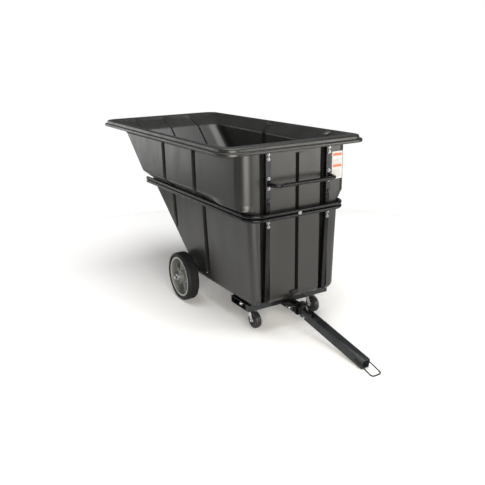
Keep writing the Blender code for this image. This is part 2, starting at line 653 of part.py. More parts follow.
# ---------------------------------------------------------------- receiver, draw shank and tow bar
def make_receiver():
    start, end = FRONT_X - 0.135, FRONT_X + 0.038
    half = 0.030
    pin_x = FRONT_X - 0.010
    receiver = square_tube("receiver_tube", (start, -half, HITCH_Z - half),
                           (end, half, HITCH_Z + half), 0, 0.004, BLACK_STEEL)
    collar = box("receiver_collar", (end - 0.002, -0.042, HITCH_Z - 0.036),
                 (end + 0.016, 0.042, HITCH_Z + 0.050), BLACK_STEEL, bevel=0.006)
    cut(collar, box_cutter("collar_mouth", (end - 0.02, -half - GAP, HITCH_Z - half - GAP),
                           (end + 0.03, half + GAP, HITCH_Z + half + GAP)))
    shank_half = 0.0255
    shank = box("draw_shank", (FRONT_X - 0.075, -shank_half, HITCH_Z - shank_half),
                (FRONT_X + 0.075, shank_half, HITCH_Z + shank_half), BLACK_STEEL)
    barrel = place("shank_barrel", rod_mesh("shank_barrel", 0.0225, 0.084, 20), None,
                   (FRONT_X + 0.080, 0, HITCH_Z + 0.002), (0, 0, 0), None, CUTTERS)
    lug = [(0.070, 0.150)] + arc((TOW_X, TOW_Z), 0.024, 75, -90, 8) + [(0.070, 0.112)]
    nose = plate("shank_lug", lug, 0.038, None, (FRONT_X, 0, 0), ALONG_Y, None, CUTTERS)
    join(shank, as_cutter(barrel))
    join(shank, as_cutter(nose))
    pin_bore = hole("hitch_pin_bore", 0.0074, 0.12, (pin_x, 0, HITCH_Z), ALONG_Y)
    tow_bore = hole("tow_pin_lug_bore", 0.0068, 0.12, (FRONT_X + TOW_X, 0, TOW_Z), ALONG_Y)
    cut(receiver, pin_bore)
    cut(shank, pin_bore)
    cut(shank, tow_bore)
    pin = turned("hitch_pin", [(0, 0.046), (0.011, 0.046), (0.011, 0.0385), (0.007, 0.0385),
                               (0.007, -0.052), (0.005, -0.055), (0, -0.055)],
                 ZINC, (pin_x, 0, HITCH_Z), (-math.pi / 2, 0, 0), steps=16)
    clip_y = -0.045
    cut(pin, hole("clip_bore", 0.0021, 0.04, (pin_x, clip_y, HITCH_Z), ALONG_X, sides=10))
    bow = [(x, clip_y, HITCH_Z + z) for x, z in
           arc((pin_x - 0.032, -0.0075), 0.0075, 90, 270, 6)]
    clip = [(pin_x + 0.034, clip_y, HITCH_Z), (pin_x + 0.010, clip_y, HITCH_Z)] + bow
    clip += [(pin_x - 0.014, clip_y, HITCH_Z - 0.015), (pin_x + 0.004, clip_y, HITCH_Z - 0.0105),
             (pin_x + 0.022, clip_y, HITCH_Z - 0.015), (pin_x + 0.036, clip_y, HITCH_Z - 0.018)]
    bent_rod("hitch_pin_clip", clip, 0.0016, ZINC, resolution=1)


def make_tow_bar():
    """Built level along +X from its pin, then swung down until its end meets the floor."""
    swing = bpy.data.objects.new("tow_bar_axis", None)
    PARTS.objects.link(swing)
    swing.location, swing.rotation_euler = (FRONT_X + TOW_X, 0, TOW_Z), (0, TOW_ANGLE, 0)
    half = TOW_HALF
    bar = square_tube("tow_bar", (-TOW_TAIL, -half, -half), (TOW_LENGTH, half, half), 0, 0.0045,
                      GREY_STEEL, parent=swing)
    cut(bar, box_cutter("top_notch", (-TOW_TAIL - 0.01, -0.024, 0.0), (0.115, 0.024, half + 0.01),
                        parent=swing))
    cut(bar, box_cutter("foot_notch", (-TOW_TAIL - 0.01, -0.024, -half - 0.01), (0.035, 0.024, 0.0),
                        parent=swing))
    cut(bar, hole("tow_pin_bore", 0.0068, 0.12, (0, 0, 0), ALONG_Y, swing))
    cut(bar, hole("bail_bore", BAIL_R + 0.0006, 0.12, (BAIL_PIVOT, 0, BAIL_RISE), ALONG_Y, swing,
                  sides=16))
    pin = turned("tow_pin", [(0, 0.041), (0.011, 0.041), (0.011, 0.0335), (0.0063, 0.0335),
                             (0.0063, -0.050), (0.0045, -0.052), (0, -0.052)],
                 ZINC, (0, 0, 0), (-math.pi / 2, 0, 0), swing, steps=16)
    ring_y, ring_r = -0.0415, 0.019
    lean = math.radians(212)
    cut(pin, hole("ring_bore", 0.0030, 0.04, (0, ring_y, 0), (0, -lean, 0), swing, sides=12))
    centre = (ring_r * math.cos(lean), ring_r * math.sin(lean))
    ring = [(centre[0] + ring_r * math.cos(turn), ring_y, centre[1] + ring_r * math.sin(turn))
            for turn in (math.tau * step / 24 for step in range(24))]
    bent_rod("tow_pin_ring", ring, 0.0012, ZINC, closed=True, resolution=1, parent=swing)


def make_bail():
    """A wire loop whose turned-in ends sit in the tow bar's side holes."""
    hinge = bpy.data.objects.new("tow_bail_axis", None)
    PARTS.objects.link(hinge)
    hinge.location, hinge.rotation_euler = (FRONT_X + BAIL_X, 0, BAIL_Z), (0, BAIL_DROP, 0)
    inside = 0.023
    corners = [(0, -inside, 0), (0, -BAIL_HALF, 0), (BAIL_LENGTH, -BAIL_HALF, 0),
               (BAIL_LENGTH, BAIL_HALF, 0), (0, BAIL_HALF, 0), (0, inside, 0)]
    path = rounded(corners[:3], 0.006, 4)[:-1]
    far = rounded(corners[1:5], 0.018, 5)[1:-1]
    back = rounded(corners[3:], 0.006, 4)[1:]
    bent_rod("tow_bail", path + far + back, BAIL_R, BLACK_STEEL, parent=hinge)


# ---------------------------------------------------------------- small fittings
def make_fittings():
    box("label", (FRONT_X + GAP, 0.2755, 0.974), (FRONT_X + 0.0015, 0.3605, 1.153), LABEL)
    block = box("tub_stay", (FRONT_X + GAP, -0.052, 0.2475), (FRONT_X + 0.006, 0.014, 0.270),
                BLACK_STEEL)
    stud = box("tub_stay_stud", (FRONT_X + 0.002, -0.046, 0.249), (FRONT_X + 0.014, -0.020, 0.268),
               None, where=CUTTERS)
    join(block, as_cutter(stud))


make_tub()
make_posts()
make_handle()
make_rails()
make_chassis()
make_axle()
make_road_wheels()
make_casters()
make_receiver()
make_tow_bar()
make_bail()
make_fittings()
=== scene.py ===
"""The looks of a towable tipping truck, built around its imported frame.

Metres, +X towards the push and tow end, +Y left, +Z up. Depths along X are given from the tub's
front wall, as in the frame, and every place comes from the frame's boxes and a few named sizes.
"""
import json
import math

import bmesh
import bpy
from mathutils import Matrix, Vector


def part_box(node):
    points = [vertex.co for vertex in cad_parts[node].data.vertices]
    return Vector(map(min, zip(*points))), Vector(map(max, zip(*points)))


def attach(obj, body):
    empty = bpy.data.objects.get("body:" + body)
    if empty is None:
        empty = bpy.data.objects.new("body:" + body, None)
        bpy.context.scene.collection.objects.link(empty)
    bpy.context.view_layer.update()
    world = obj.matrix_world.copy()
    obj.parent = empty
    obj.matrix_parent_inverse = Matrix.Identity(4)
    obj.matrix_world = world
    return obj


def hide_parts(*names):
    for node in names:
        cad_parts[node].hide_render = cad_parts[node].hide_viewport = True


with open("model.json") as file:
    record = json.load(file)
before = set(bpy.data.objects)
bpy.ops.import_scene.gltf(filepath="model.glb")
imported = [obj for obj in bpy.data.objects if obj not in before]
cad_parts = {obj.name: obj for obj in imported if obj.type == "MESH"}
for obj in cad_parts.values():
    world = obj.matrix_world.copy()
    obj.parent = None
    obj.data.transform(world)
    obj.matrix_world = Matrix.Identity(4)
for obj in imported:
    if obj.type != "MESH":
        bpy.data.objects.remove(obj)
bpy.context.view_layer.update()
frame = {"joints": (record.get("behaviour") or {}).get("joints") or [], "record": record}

# ---- sizes read from the frame
TUB_LOW, TUB_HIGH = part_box("tub")
RIM_FRONT = 0.051  # the lip stands this far in front of the front wall
FRONT_X = TUB_HIGH.x - RIM_FRONT
RIM_REAR = TUB_LOW.x - FRONT_X
RIM_HALF, RIM_TOP = TUB_HIGH.y, TUB_HIGH.z
BOTTOM_LIFT = 0.004  # the drawn bottom is this much higher than the frame's
TUB_BOTTOM = TUB_LOW.z + BOTTOM_LIFT
HITCH_Z = 0.1425  # the centre line of the receiver and the shank
SIDES = (("left", 1), ("right", -1))
JOINTS = {joint["name"]: joint for joint in frame["joints"]}
BODY_OF = {node: body for body, nodes in frame["record"]["behaviour"]["bodies"].items() for node in nodes}
SLOT_OF = {part["node"]: part["material_slot"] for part in frame["record"]["subparts"]}
UPRIGHT, ALONG_X, ALONG_Y = (0, 0, 0), (0, math.pi / 2, 0), (math.pi / 2, 0, 0)
ACROSS = (math.pi / 2, 0, math.pi / 2)  # an outline drawn in Y and Z, thick along X
ORIGIN = (0, 0, 0)
LOOKS = {}


# ---- small helpers
def middle_of(node):
    """The middle of a frame node's box."""
    low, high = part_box(node)
    return (low + high) / 2


def rear_of(node):
    """The middle of the rear face of a frame node's box."""
    _, y, z = middle_of(node)
    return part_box(node)[0].x, y, z


def mm(*pairs):
    """Pairs given in millimetres, as metres."""
    return [(across / 1000, up / 1000) for across, up in pairs]


def smooth(value, low, high):
    """0 below low, 1 above high, an S between."""
    share = min(max((value - low) / (high - low), 0.0), 1.0)
    return share * share * (3 - 2 * share)


def plateau(value, centre, half, soft):
    """1 within half of the centre, falling to 0 over the soft edge."""
    return 1 - smooth(abs(value - centre), half, half + soft)


def eased(shape, z, reach):
    """A piecewise function with its corners rounded: the mean over a short reach."""
    near = [shape(z + reach * step / 4) for step in range(-4, 5)]
    return sum(near) / len(near)


def arc(centre, radius, start, end, steps):
    """Points of an arc in a plane, angles in degrees."""
    turns = [math.radians(start + (end - start) * step / steps) for step in range(steps + 1)]
    return [(centre[0] + radius * math.cos(a), centre[1] + radius * math.sin(a)) for a in turns]


def placed(name, data):
    """A new object in the scene."""
    made = bpy.data.objects.new(name, data)
    bpy.context.scene.collection.objects.link(made)
    return made


def finish_mesh(name, shape, location=ORIGIN, turn=UPRIGHT, sharp=35):
    """An object from a bmesh, shaded smooth except across its real edges."""
    bmesh.ops.recalc_face_normals(shape, faces=shape.faces)
    data = bpy.data.meshes.new(name)
    shape.to_mesh(data)
    shape.free()
    data.shade_smooth()
    data.set_sharp_from_angle(angle=math.radians(sharp))
    piece = placed(name, data)
    piece.location, piece.rotation_euler = location, turn
    return piece


def wear(piece, node=None, slot=None, body=None, look=None):
    """Ride, stand for a frame node, and take its finish."""
    slot = slot or SLOT_OF[node]
    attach(piece, body or BODY_OF[node])
    if node:
        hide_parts(node)
    piece.data.materials.clear()
    piece.data.materials.append(LOOKS[look or slot])
    return piece


def bevelled(piece, width, segments=3, angle=40):
    """Rounded edges with even shading."""
    step = piece.modifiers.new("edges", "BEVEL")
    step.width, step.segments, step.limit_method = width, segments, "ANGLE"
    step.angle_limit, step.harden_normals = math.radians(angle), True
    return piece


def block(name, low, high, bevel=0.001, segments=3):
    """A box between two corners with rounded edges."""
    shape = bmesh.new()
    bmesh.ops.create_cube(shape, size=1.0)
    low, high = Vector(low), Vector(high)
    size = Matrix.Diagonal((*(high - low), 1.0))
    bmesh.ops.transform(shape, matrix=Matrix.Translation((low + high) / 2) @ size, verts=shape.verts)
    return bevelled(finish_mesh(name, shape), bevel, segments)


def turned(name, profile, location=ORIGIN, turn=UPRIGHT, steps=48, ease=0.0, cuts=3, sharp=35):
    """A turned piece about local Z from a (radius, height) profile, its corners eased if asked."""
    if ease:
        profile = eased_profile(profile, ease, cuts)
    shape = bmesh.new()
    points = [shape.verts.new((radius, 0, height)) for radius, height in profile]
    edges = [shape.edges.new(pair) for pair in zip(points, points[1:])]
    bmesh.ops.spin(shape, geom=points + edges, cent=(0, 0, 0), axis=(0, 0, 1), angle=math.tau,
                   steps=steps, use_merge=True)
    bmesh.ops.remove_doubles(shape, verts=shape.verts, dist=0.00001)
    return finish_mesh(name, shape, location, turn, sharp)


def eased_profile(corners, reach, steps):
    """A turned profile whose corners are cut by short arcs."""
    out = [corners[0]]
    for before, corner, after in zip(corners, corners[1:], corners[2:]):
        corner = Vector(corner)
        start, end = Vector(before) - corner, Vector(after) - corner
        cut = min(reach, start.length * 0.45, end.length * 0.45)
        start, end = corner + start.normalized() * cut, corner + end.normalized() * cut
        for step in range(steps + 1):
            share = step / steps
            out.append(tuple(start.lerp(corner, share).lerp(corner.lerp(end, share), share)))
    return out + [corners[-1]]


def extruded(name, outline, thickness, location, turn, bevel=0.001, holes=()):
    """A flat plate from a 2D outline with holes, thick along local Z."""
    curve = bpy.data.curves.new(name, "CURVE")
    curve.dimensions, curve.fill_mode, curve.extrude = "2D", "BOTH", thickness / 2
    for loop in (outline, *holes):
        line = curve.splines.new("POLY")
        line.points.add(len(loop) - 1)
        line.use_cyclic_u = True
        for point, (across, up) in zip(line.points, loop):
            point.co = (across, up, 0, 1.0)
    drawn = placed(name, curve)
    data = bpy.data.meshes.new_from_object(drawn.evaluated_get(bpy.context.evaluated_depsgraph_get()))
    bpy.data.objects.remove(drawn)
    shape = bmesh.new()
    shape.from_mesh(data)
    bmesh.ops.remove_doubles(shape, verts=shape.verts, dist=0.00001)
    bmesh.ops.dissolve_limit(shape, angle_limit=0.01, verts=shape.verts, edges=shape.edges)
    return bevelled(finish_mesh(name, shape, location, turn), bevel, 2)


def mirrored(half):
    """A profile followed by its reflection across the middle, from the last point back."""
    return half + [(radius, -height) for radius, height in reversed(half)]


def rounded(points, radius, steps):
    """A polyline whose inner corners are replaced by arcs."""
    points = [Vector(point) for point in points]
    path = [points[0]]
    for before, corner, after in zip(points, points[1:], points[2:]):
        to_start, to_end = (before - corner).normalized(), (after - corner).normalized()
        half = to_start.angle(to_end) / 2
        run = radius / math.tan(half)
        centre = corner + (to_start + to_end).normalized() * radius / math.sin(half)
        start, end = corner + to_start * run - centre, corner + to_end * run - centre
        sweep = start.angle(end)
        for step in range(steps + 1):
            share = step / steps
            mixed = start * math.sin((1 - share) * sweep) + end * math.sin(share * sweep)
            path.append(centre + mixed / math.sin(sweep))
    return path + [points[-1]]


def wire(name, path, radius, resolution, closed=False):
    """A round bar or tube along a path."""
    curve = bpy.data.curves.new(name, "CURVE")
    curve.dimensions, curve.bevel_depth, curve.bevel_resolution = "3D", radius, resolution
    curve.use_fill_caps = not closed
    line = curve.splines.new("POLY")
    line.points.add(len(path) - 1)
    line.use_cyclic_u, line.use_smooth = closed, True
    for made, point in zip(line.points, path):
        made.co = (*point, 1.0)
    return placed(name, curve)


def joined(name, pieces):
    """One mesh object from several, with their modifiers applied and their places kept."""
    bpy.context.view_layer.update()
    shape = bmesh.new()
    graph = bpy.context.evaluated_depsgraph_get()
    for piece in pieces:
        data = bpy.data.meshes.new_from_object(piece.evaluated_get(graph))
        data.transform(piece.matrix_world)
        shape.from_mesh(data)
        bpy.data.meshes.remove(data)
    for piece in pieces:
        bpy.data.objects.remove(piece)
    return finish_mesh(name, shape)


# ---- materials
class Look:
    """A Principled material with a few procedural layers."""

    def __init__(self, name, roughness, metallic, specular):
        made = bpy.data.materials.new(name)
        made.use_nodes = True
        self.tree = made.node_tree
        self.shader = self.tree.nodes["Principled BSDF"]
        self.shader.inputs["Metallic"].default_value = metallic
        self.shader.inputs["Roughness"].default_value = roughness
        self.shader.inputs["Specular IOR Level"].default_value = specular
        self.where = self.tree.nodes.new("ShaderNodeTexCoord").outputs["Object"]
        LOOKS[name] = made

    def node(self, kind, **values):
        made = self.tree.nodes.new(kind)
        for name, value in values.items():
            if name in made.inputs:
                made.inputs[name].default_value = value
            else:
                setattr(made, name, value)
        return made

    def link(self, output, target):
        self.tree.links.new(output, target)

    def noise(self, scale, detail=3.0, roughness=0.55, stretch=(1, 1, 1)):
        """Noise in the piece's own metres, so it stays with a moving piece."""
        spread = self.node("ShaderNodeMapping")
        spread.inputs["Scale"].default_value = stretch
        self.link(self.where, spread.inputs["Vector"])
        made = self.node("ShaderNodeTexNoise", Scale=scale, Detail=detail, Roughness=roughness)
        self.link(spread.outputs["Vector"], made.inputs["Vector"])
        return made.outputs["Fac"]

    def ramp(self, source, stops):
        made = self.node("ShaderNodeValToRGB")
        for stop, (place, colour) in zip(made.color_ramp.elements, stops):
            stop.position, stop.color = place, (*colour, 1.0)
        self.link(source, made.inputs["Fac"])
        return made.outputs["Color"]

    def colour(self, source, stops):
        self.link(self.ramp(source, stops), self.shader.inputs["Base Color"])

    def rough(self, source, stops):
        greys = [(place, (value, value, value)) for place, value in stops]
        self.link(self.ramp(source, greys), self.shader.inputs["Roughness"])

    def bump(self, layers):
        """Layers of (height source, strength, distance), one over the other."""
        last = None
        for source, strength, distance in layers:
            made = self.node("ShaderNodeBump", Strength=strength, Distance=distance)
            self.link(source, made.inputs["Height"])
            if last:
                self.link(last, made.inputs["Normal"])
            last = made.outputs["Normal"]
        self.link(last, self.shader.inputs["Normal"])


# look: (roughness, metallic, specular), colour (noise scale, dark, light), roughness (noise scale,
# detail, low, high) where it varies, bump (noise scale, detail, strength, distance)
FINISHES = {
    "black_steel": ((0.3, 0, 0.22), (14, (0.0018, 0.0018, 0.0022), (0.004, 0.004, 0.0045)),
                    (40, 5, 0.2, 0.32), (420, 2, 0.18, 0.0003)),
    "grey_steel": ((0.38, 0, 0.28), (16, (0.008, 0.009, 0.0105), (0.015, 0.017, 0.019)),
                   (30, 5, 0.3, 0.46), (380, 2, 0.2, 0.0003)),
    "zinc": ((0.25, 1, 0.5), (60, (0.46, 0.47, 0.48), (0.64, 0.65, 0.66)),
             (90, 4, 0.18, 0.34), (500, 2, 0.1, 0.0002)),
    "bolt_zinc": ((0.32, 1, 0.5), (60, (0.2, 0.205, 0.21), (0.34, 0.345, 0.35)),
                  None, (500, 2, 0.1, 0.0002)),
    # the wheel's lips get a lighter grey than the rest of the wheel: a painted highlight along the rim's
    # edge
    "wheel_lip_painted_highlight": ((0.4, 0, 0.5), (18, (0.24, 0.25, 0.24), (0.32, 0.33, 0.31)),
                   None, (350, 2, 0.15, 0.0003)),
    "tyre": ((0.62, 0, 0.25), (24, (0.003, 0.003, 0.0035), (0.007, 0.007, 0.0075)),
             (50, 5, 0.52, 0.72), (300, 3, 0.25, 0.0004)),
    "wheel_hub": ((0.45, 0, 0.5), (18, (0.075, 0.08, 0.074), (0.115, 0.121, 0.11)),
                  (60, 4, 0.38, 0.52), (350, 2, 0.15, 0.0003)),
    "caster_tread": ((0.4, 0, 0.35), (40, (0.006, 0.006, 0.007), (0.012, 0.012, 0.013)),
                     (80, 4, 0.32, 0.48), (400, 2, 0.15, 0.0002)),
    "black_plug": ((0.6, 0, 0.4), (60, (0.008, 0.008, 0.008), (0.018, 0.018, 0.018)),
                   None, (500, 2, 0.2, 0.0003)),
    **{name: ((0.42, 0, 0.5), (30, dark, light), None, (220, 2, 0.06, 0.0002))
       for name, dark, light in (("label", (0.36, 0.36, 0.355), (0.42, 0.42, 0.415)),
                                 ("label_grey", (0.16, 0.16, 0.16), (0.2, 0.2, 0.2)),
                                 ("label_orange", (0.38, 0.08, 0.022), (0.45, 0.105, 0.03)))}}


def make_looks():
    """The tub's cloudy moulded plastic given one by one, and every other finish from the table."""
    plastic = Look("tub_plastic", 0.42, 0.0, 0.5)
    cloud = plastic.noise(2.2, 4.0, 0.6)
    plastic.colour(cloud, ((0.3, (0.0055, 0.0055, 0.0049)), (0.72, (0.0105, 0.0103, 0.009))))
    plastic.rough(plastic.noise(6.0, 6.0, 0.62, (1, 1, 0.35)), ((0.32, 0.3), (0.7, 0.44)))
    plastic.bump(((plastic.noise(9.0, 2.0, 0.5, (1, 1, 0.4)), 0.1, 0.004),
                  (plastic.noise(620.0, 2.0, 0.5), 0.22, 0.0004)))
    for name, (surface, (scale, dark, light), rough, bump) in FINISHES.items():
        look = Look(name, *surface)
        look.colour(look.noise(scale), ((0.3, dark), (0.7, light)))
        if rough:
            look.rough(look.noise(*rough[:2]), ((0.3, rough[2]), (0.7, rough[3])))
        look.bump(((look.noise(*bump[:2]), *bump[2:]),))


# ---- the moulded tub
WALL = 0.008
UPPER_HALF, WAIST_HALF, FOOT_HALF = 0.4115, 0.35, 0.326
SHOULDER_TOP, SHOULDER_FOOT, SHOULDER_DROP = 0.886, 0.83, 0.036
DROP_SPAN = (-0.48, -0.25)  # towards the push end the right shoulder sweeps down
SHOULDER_EASE = 0.004  # rounds the shoulder's two bends
FLARE_SPAN = (-0.36, -0.1)  # the rim's flare dies out over the front corners
FLARE_STEPS = ((1.155, 0.0), (1.165, 0.05), (1.18, 0.18), (1.195, 0.34), (1.204, 0.43), (1.213, 0.52),
               (1.223, 0.62), (1.231, 0.7), (1.238, 0.78), (1.242, 0.84))
FLARE_HOLD = 0.8  # below the rim the walls take this share of the flare
TUB_CORNER, RIM_CORNER, BOTTOM_RADIUS = 0.05, 0.11, 0.055
CORNER_GAIN = 0.036  # the corners are rounder above the shoulder
BOTTOM_FLAT = 0.012  # the flat bottom stops this far inside its rounding
CORNER_STEPS, BOTTOM_STEPS = 10, 8
WIDENING = 0.034  # the tub widens towards the rear, per metre
DUMP_X, DUMP_Z, DUMP_RUN = -1.8346, 1.159, 1.07
DUMP_INSET = 0.55  # the bottom's rounding moves the dump face by this share
LEVEL_SKIN = 1.464  # the dump face's thickness measured level, per thickness
POST_Y, POST_BEND_Z, POST_FOOT_Z, POST_LEAN = 0.231, 0.725, 0.225, 0.024
RECESS_SHIFT, RECESS_HALF, RECESS_SOFT = -0.0145, 0.0325, 0.003
RECESS_BACK, RECESS_LEAN, RECESS_RUN = -0.036, 0.025, 1.9
RECESS_SKIN = 1.1  # the leaning back of a recess measured level, per thickness
RIGHT_GROOVES, GROOVE_HALF, GROOVE_SOFT, GROOVE_DEPTH = (-1.069, -0.599), 0.023, 0.005, 0.046
LEFT_RIBS, RIB_HALF, RIB_SOFT, RIB_DEPTH = (-1.017, -0.252), 0.036, 0.004, 0.018
DUMP_RIBS, DUMP_HALF, DUMP_SOFT, DUMP_DEPTH = (-0.245, 0.0, 0.245), 0.005, 0.006, 0.02
CENTRE_HALF, CENTRE_SOFT, CENTRE_DEPTH = 0.011, 0.003, 0.03
MARK_ROOM = 0.06  # a rib or groove needs this much wall on its rear side
RAIL_MID, RAIL_HALF, RAIL_SOFT = 0.8275, 0.0645, 0.01  # the left ribs stop behind the rails
FOOT_FADE, DUMP_FADE = (0.256, 0.27), (0.3, 0.33)  # heights over which marks begin and end
POST_FADE, CENTRE_FADE, RIGHT_FADE = (1.1985, 1.2035), (1.168, 1.176), (1.146, 1.157)
LEDGE = -0.052  # the rim runs this far in over the front wall
LIP_Z, HOOD_Z, HOOD_DEPTH = 1.2, 1.236, 0.036  # the lip's foot, and the top of the hollow behind it
LIP_ROUNDING = 0.8  # the corners tighten by this share of the way in from the lip
FRONT_SPAN, SIDE_SPAN = (-0.36, 0.36), (-1.8, -0.06)  # full sides that marks are spread over
WALL_HEIGHTS = [z / 1000 for z in (
    258, 262, 266, 270, 300, 330, 370, 430, 500, 570, 640, 700, 725, 747, 752, 757, 762, 780, 815, 824, 828,
    831, 834, 837, 840, 843, 846, 849, 853, 858, 864, 870, 874, 878, 882, 889, 895, 900, 905, 930, 970,
    1020, 1070, 1110, 1145, 1149, 1153, 1158, 1165, 1170, 1174, 1178, 1184, 1190, 1196, 1198.5, 1201,
    1203.8)]


def dump_x(z):
    """The sloping dump face."""
    return DUMP_X - DUMP_RUN * (z - DUMP_Z)


def recess_x(z):
    """The back of the recesses, which follows the posts."""
    if z >= POST_BEND_Z:
        return RECESS_BACK
    if z >= POST_FOOT_Z:
        return RECESS_BACK - RECESS_LEAN * (POST_BEND_Z - z) / (POST_BEND_Z - POST_FOOT_Z)
    return RECESS_BACK - RECESS_LEAN - RECESS_RUN * (POST_FOOT_Z - z)


def half_width(z, drop):
    """Half width of the walls: drafted below the waist, a shoulder, then upright."""
    top = SHOULDER_TOP - drop

    def plain(height):
        if height <= SHOULDER_FOOT:
            share = (height - TUB_BOTTOM) / (SHOULDER_FOOT - TUB_BOTTOM)
            return FOOT_HALF + (WAIST_HALF - FOOT_HALF) * share
        if height < top:
            share = (height - SHOULDER_FOOT) / (top - SHOULDER_FOOT)
            return WAIST_HALF + (UPPER_HALF - WAIST_HALF) * share
        return UPPER_HALF

    return eased(plain, z, SHOULDER_EASE)


def flare_share(z):
    """How far the sides and rear have flared out from the wall towards the rim."""
    for (low, start), (high, end) in zip(FLARE_STEPS, FLARE_STEPS[1:]):
        if z < high:
            return max(0.0, start + (end - start) * (z - low) / (high - low))
    return FLARE_STEPS[-1][1]


def stations(features, low, high, spacing=0.075):
    """Places along a side: dense over each feature's edges, even between them."""
    full, last, before = [], low, low
    for centre, half, soft in features:
        count = max(2, round((centre - before) / spacing))
        first = centre - half - soft
        full += [last + (first - last) * step / count for step in range(1, count)]
        full += [first + soft * step / 3 for step in range(4)]
        full += [centre + half + soft * step / 3 for step in range(4)]
        last, before = full[-1], centre
    count = max(2, round((high - before) / spacing))
    return full + [last + (high - last) * step / count for step in range(1, count)]


def fitted(wanted, low, high):
    """Stations kept in order when a short side can't hold them all."""
    gap = 0.0006
    count = len(wanted)
    kept = [max(value, low + gap * (order + 1)) for order, value in enumerate(wanted)]
    return [min(value, high - gap * (count - order)) for order, value in enumerate(kept)]


def marks_on(features, low, high, span):
    """Marks from the first feature to the last stay put; the rest spread over the side as it is."""
    marks = stations(features, *span)
    first, last = features[0][0] - sum(features[0][1:]), sum(features[-1])
    before, after = (first - low) / (first - span[0]), (high - last) / (span[1] - last)
    moved = [first - (first - mark) * before if mark < first else
             last + (mark - last) * after if mark > last else mark for mark in marks]
    return fitted(moved, low, high)


def front_side(z, front, edges, skin, cuts):
    """The front wall: a recess behind each post and a groove up the middle."""
    recess, groove = RECESS_HALF + skin, CENTRE_HALF + skin
    centres = (RECESS_SHIFT - POST_Y, RECESS_SHIFT + POST_Y)
    features = [(centre, recess, RECESS_SOFT) for centre in centres]
    features.insert(1, (0.0, groove, CENTRE_SOFT))
    side = []
    for y in marks_on(features, *edges, FRONT_SPAN):
        post = max(plateau(y, centre, recess, RECESS_SOFT) for centre in centres)
        back = min(front, recess_x(z) - skin * RECESS_SKIN)
        cut = CENTRE_DEPTH * plateau(y, 0, groove, CENTRE_SOFT) * cuts["centre"]
        side.append((front + (back - front) * post * cuts["post"] - cut, y))
    return side


def tub_ring(level, skin):
    """One level of the tub's surface, counter-clockwise from above."""
    z, front, rear, (right, left, rear_half), span, radius, widening, cuts = level
    low_x, high_x = rear + radius, front - radius
    rear_edge = rear_half - radius

    def side(centres, half, soft, at_front, depth):
        """Places along one side, and how far out the wall stands at each."""
        places = marks_on([(centre, half, soft) for centre in centres], low_x, high_x, SIDE_SPAN)
        kept = [centre for centre in centres if low_x < centre - MARK_ROOM]
        return [(x, rear_half + (at_front - rear_half) * smooth(x, *span)
                 + depth * sum(plateau(x, centre, half, soft) for centre in kept)) for x in places]

    ring = front_side(z, front, (radius - right, left - radius), skin, cuts)
    ring += arc((high_x, left - radius), radius, 0, 90, CORNER_STEPS)
    depth = RIB_DEPTH * (1 - plateau(z, RAIL_MID, RAIL_HALF, RAIL_SOFT)) * cuts["left"]
    ring += side(LEFT_RIBS, RIB_HALF - skin, RIB_SOFT, left, depth)[::-1]
    ring += arc((low_x, rear_edge), radius, 90, 180, CORNER_STEPS)
    half = DUMP_HALF + skin / 2
    marks = marks_on([(centre, half, DUMP_SOFT) for centre in DUMP_RIBS], -rear_edge, rear_edge, FRONT_SPAN)
    for y in reversed(marks):
        rib = sum(plateau(y, centre, half, DUMP_SOFT) for centre in DUMP_RIBS)
        ring.append((rear + DUMP_DEPTH * rib * cuts["dump"], y))
    ring += arc((low_x, -rear_edge), radius, 180, 270, CORNER_STEPS)
    depth = -GROOVE_DEPTH * cuts["right"]
    ring += [(x, -y) for x, y in side(RIGHT_GROOVES, GROOVE_HALF + skin, GROOVE_SOFT, right, depth)]
    ring += arc((high_x, radius - right), radius, 270, 360, CORNER_STEPS)
    return [Vector((FRONT_X + x, y * (1 - widening * x), z)) for x, y in ring]


def wall_level(z, skin, inset=0.0):
    """A level of the walls; the inset rounds the bottom edge."""
    foot = smooth(z, *FOOT_FADE)
    cuts = {"post": 1 - smooth(z, *POST_FADE), "centre": foot - smooth(z, *CENTRE_FADE),
            "right": foot - smooth(z, *RIGHT_FADE), "left": foot, "dump": smooth(z, *DUMP_FADE)}
    slim = inset / 2 + skin
    right, left = (half_width(z, drop) - slim for drop in (SHOULDER_DROP, 0.0))
    out = flare_share(z)
    rear = dump_x(z) + inset * DUMP_INSET + skin * LEVEL_SKIN + (RIM_REAR - dump_x(z)) * out * FLARE_HOLD
    rear_half = left + (RIM_HALF - UPPER_HALF) * out * FLARE_HOLD
    radius = TUB_CORNER + CORNER_GAIN * smooth(z, SHOULDER_FOOT, SHOULDER_TOP) - slim
    return (z, -inset - skin, rear, (right, left, rear_half), FLARE_SPAN if out else DROP_SPAN, radius,
            WIDENING * (1 - out), cuts)


def wall_levels(skin):
    """The edge of the flat bottom, its rounding, and the walls up to the rim."""
    radius = BOTTOM_RADIUS - skin
    levels = [wall_level(TUB_BOTTOM + skin, skin, radius + BOTTOM_FLAT)]
    for step in range(BOTTOM_STEPS + 1):
        angle = math.radians(90 * step / BOTTOM_STEPS)
        z = TUB_BOTTOM + BOTTOM_RADIUS - radius * math.cos(angle)
        levels.append(wall_level(z, skin, radius * (1 - math.sin(angle))))
    return levels + [wall_level(z, skin) for z in WALL_HEIGHTS]


def rim_level(z, inward, front_share, share, out, skin, dump=0.0, left=0.0):
    """A level of the rim: so far inward of the lip, and shares of the way out to it."""
    rear = dump_x(z) + skin * LEVEL_SKIN
    inner = (UPPER_HALF - skin, TUB_CORNER + CORNER_GAIN - skin)
    lip = (RIM_HALF - inward, RIM_CORNER - inward * LIP_ROUNDING)
    half, radius = (a + (b - a) * share for a, b in zip(inner, lip))
    side = inner[0] + (lip[0] - inner[0]) * out
    front = LEDGE - skin + (RIM_FRONT - inward - LEDGE + skin) * front_share
    return (z, front, rear + (RIM_REAR + inward - rear) * out, (half, half, side), FLARE_SPAN, radius,
            WIDENING * (1 - out), {"post": 0, "centre": 0, "right": 0, "left": left, "dump": dump})


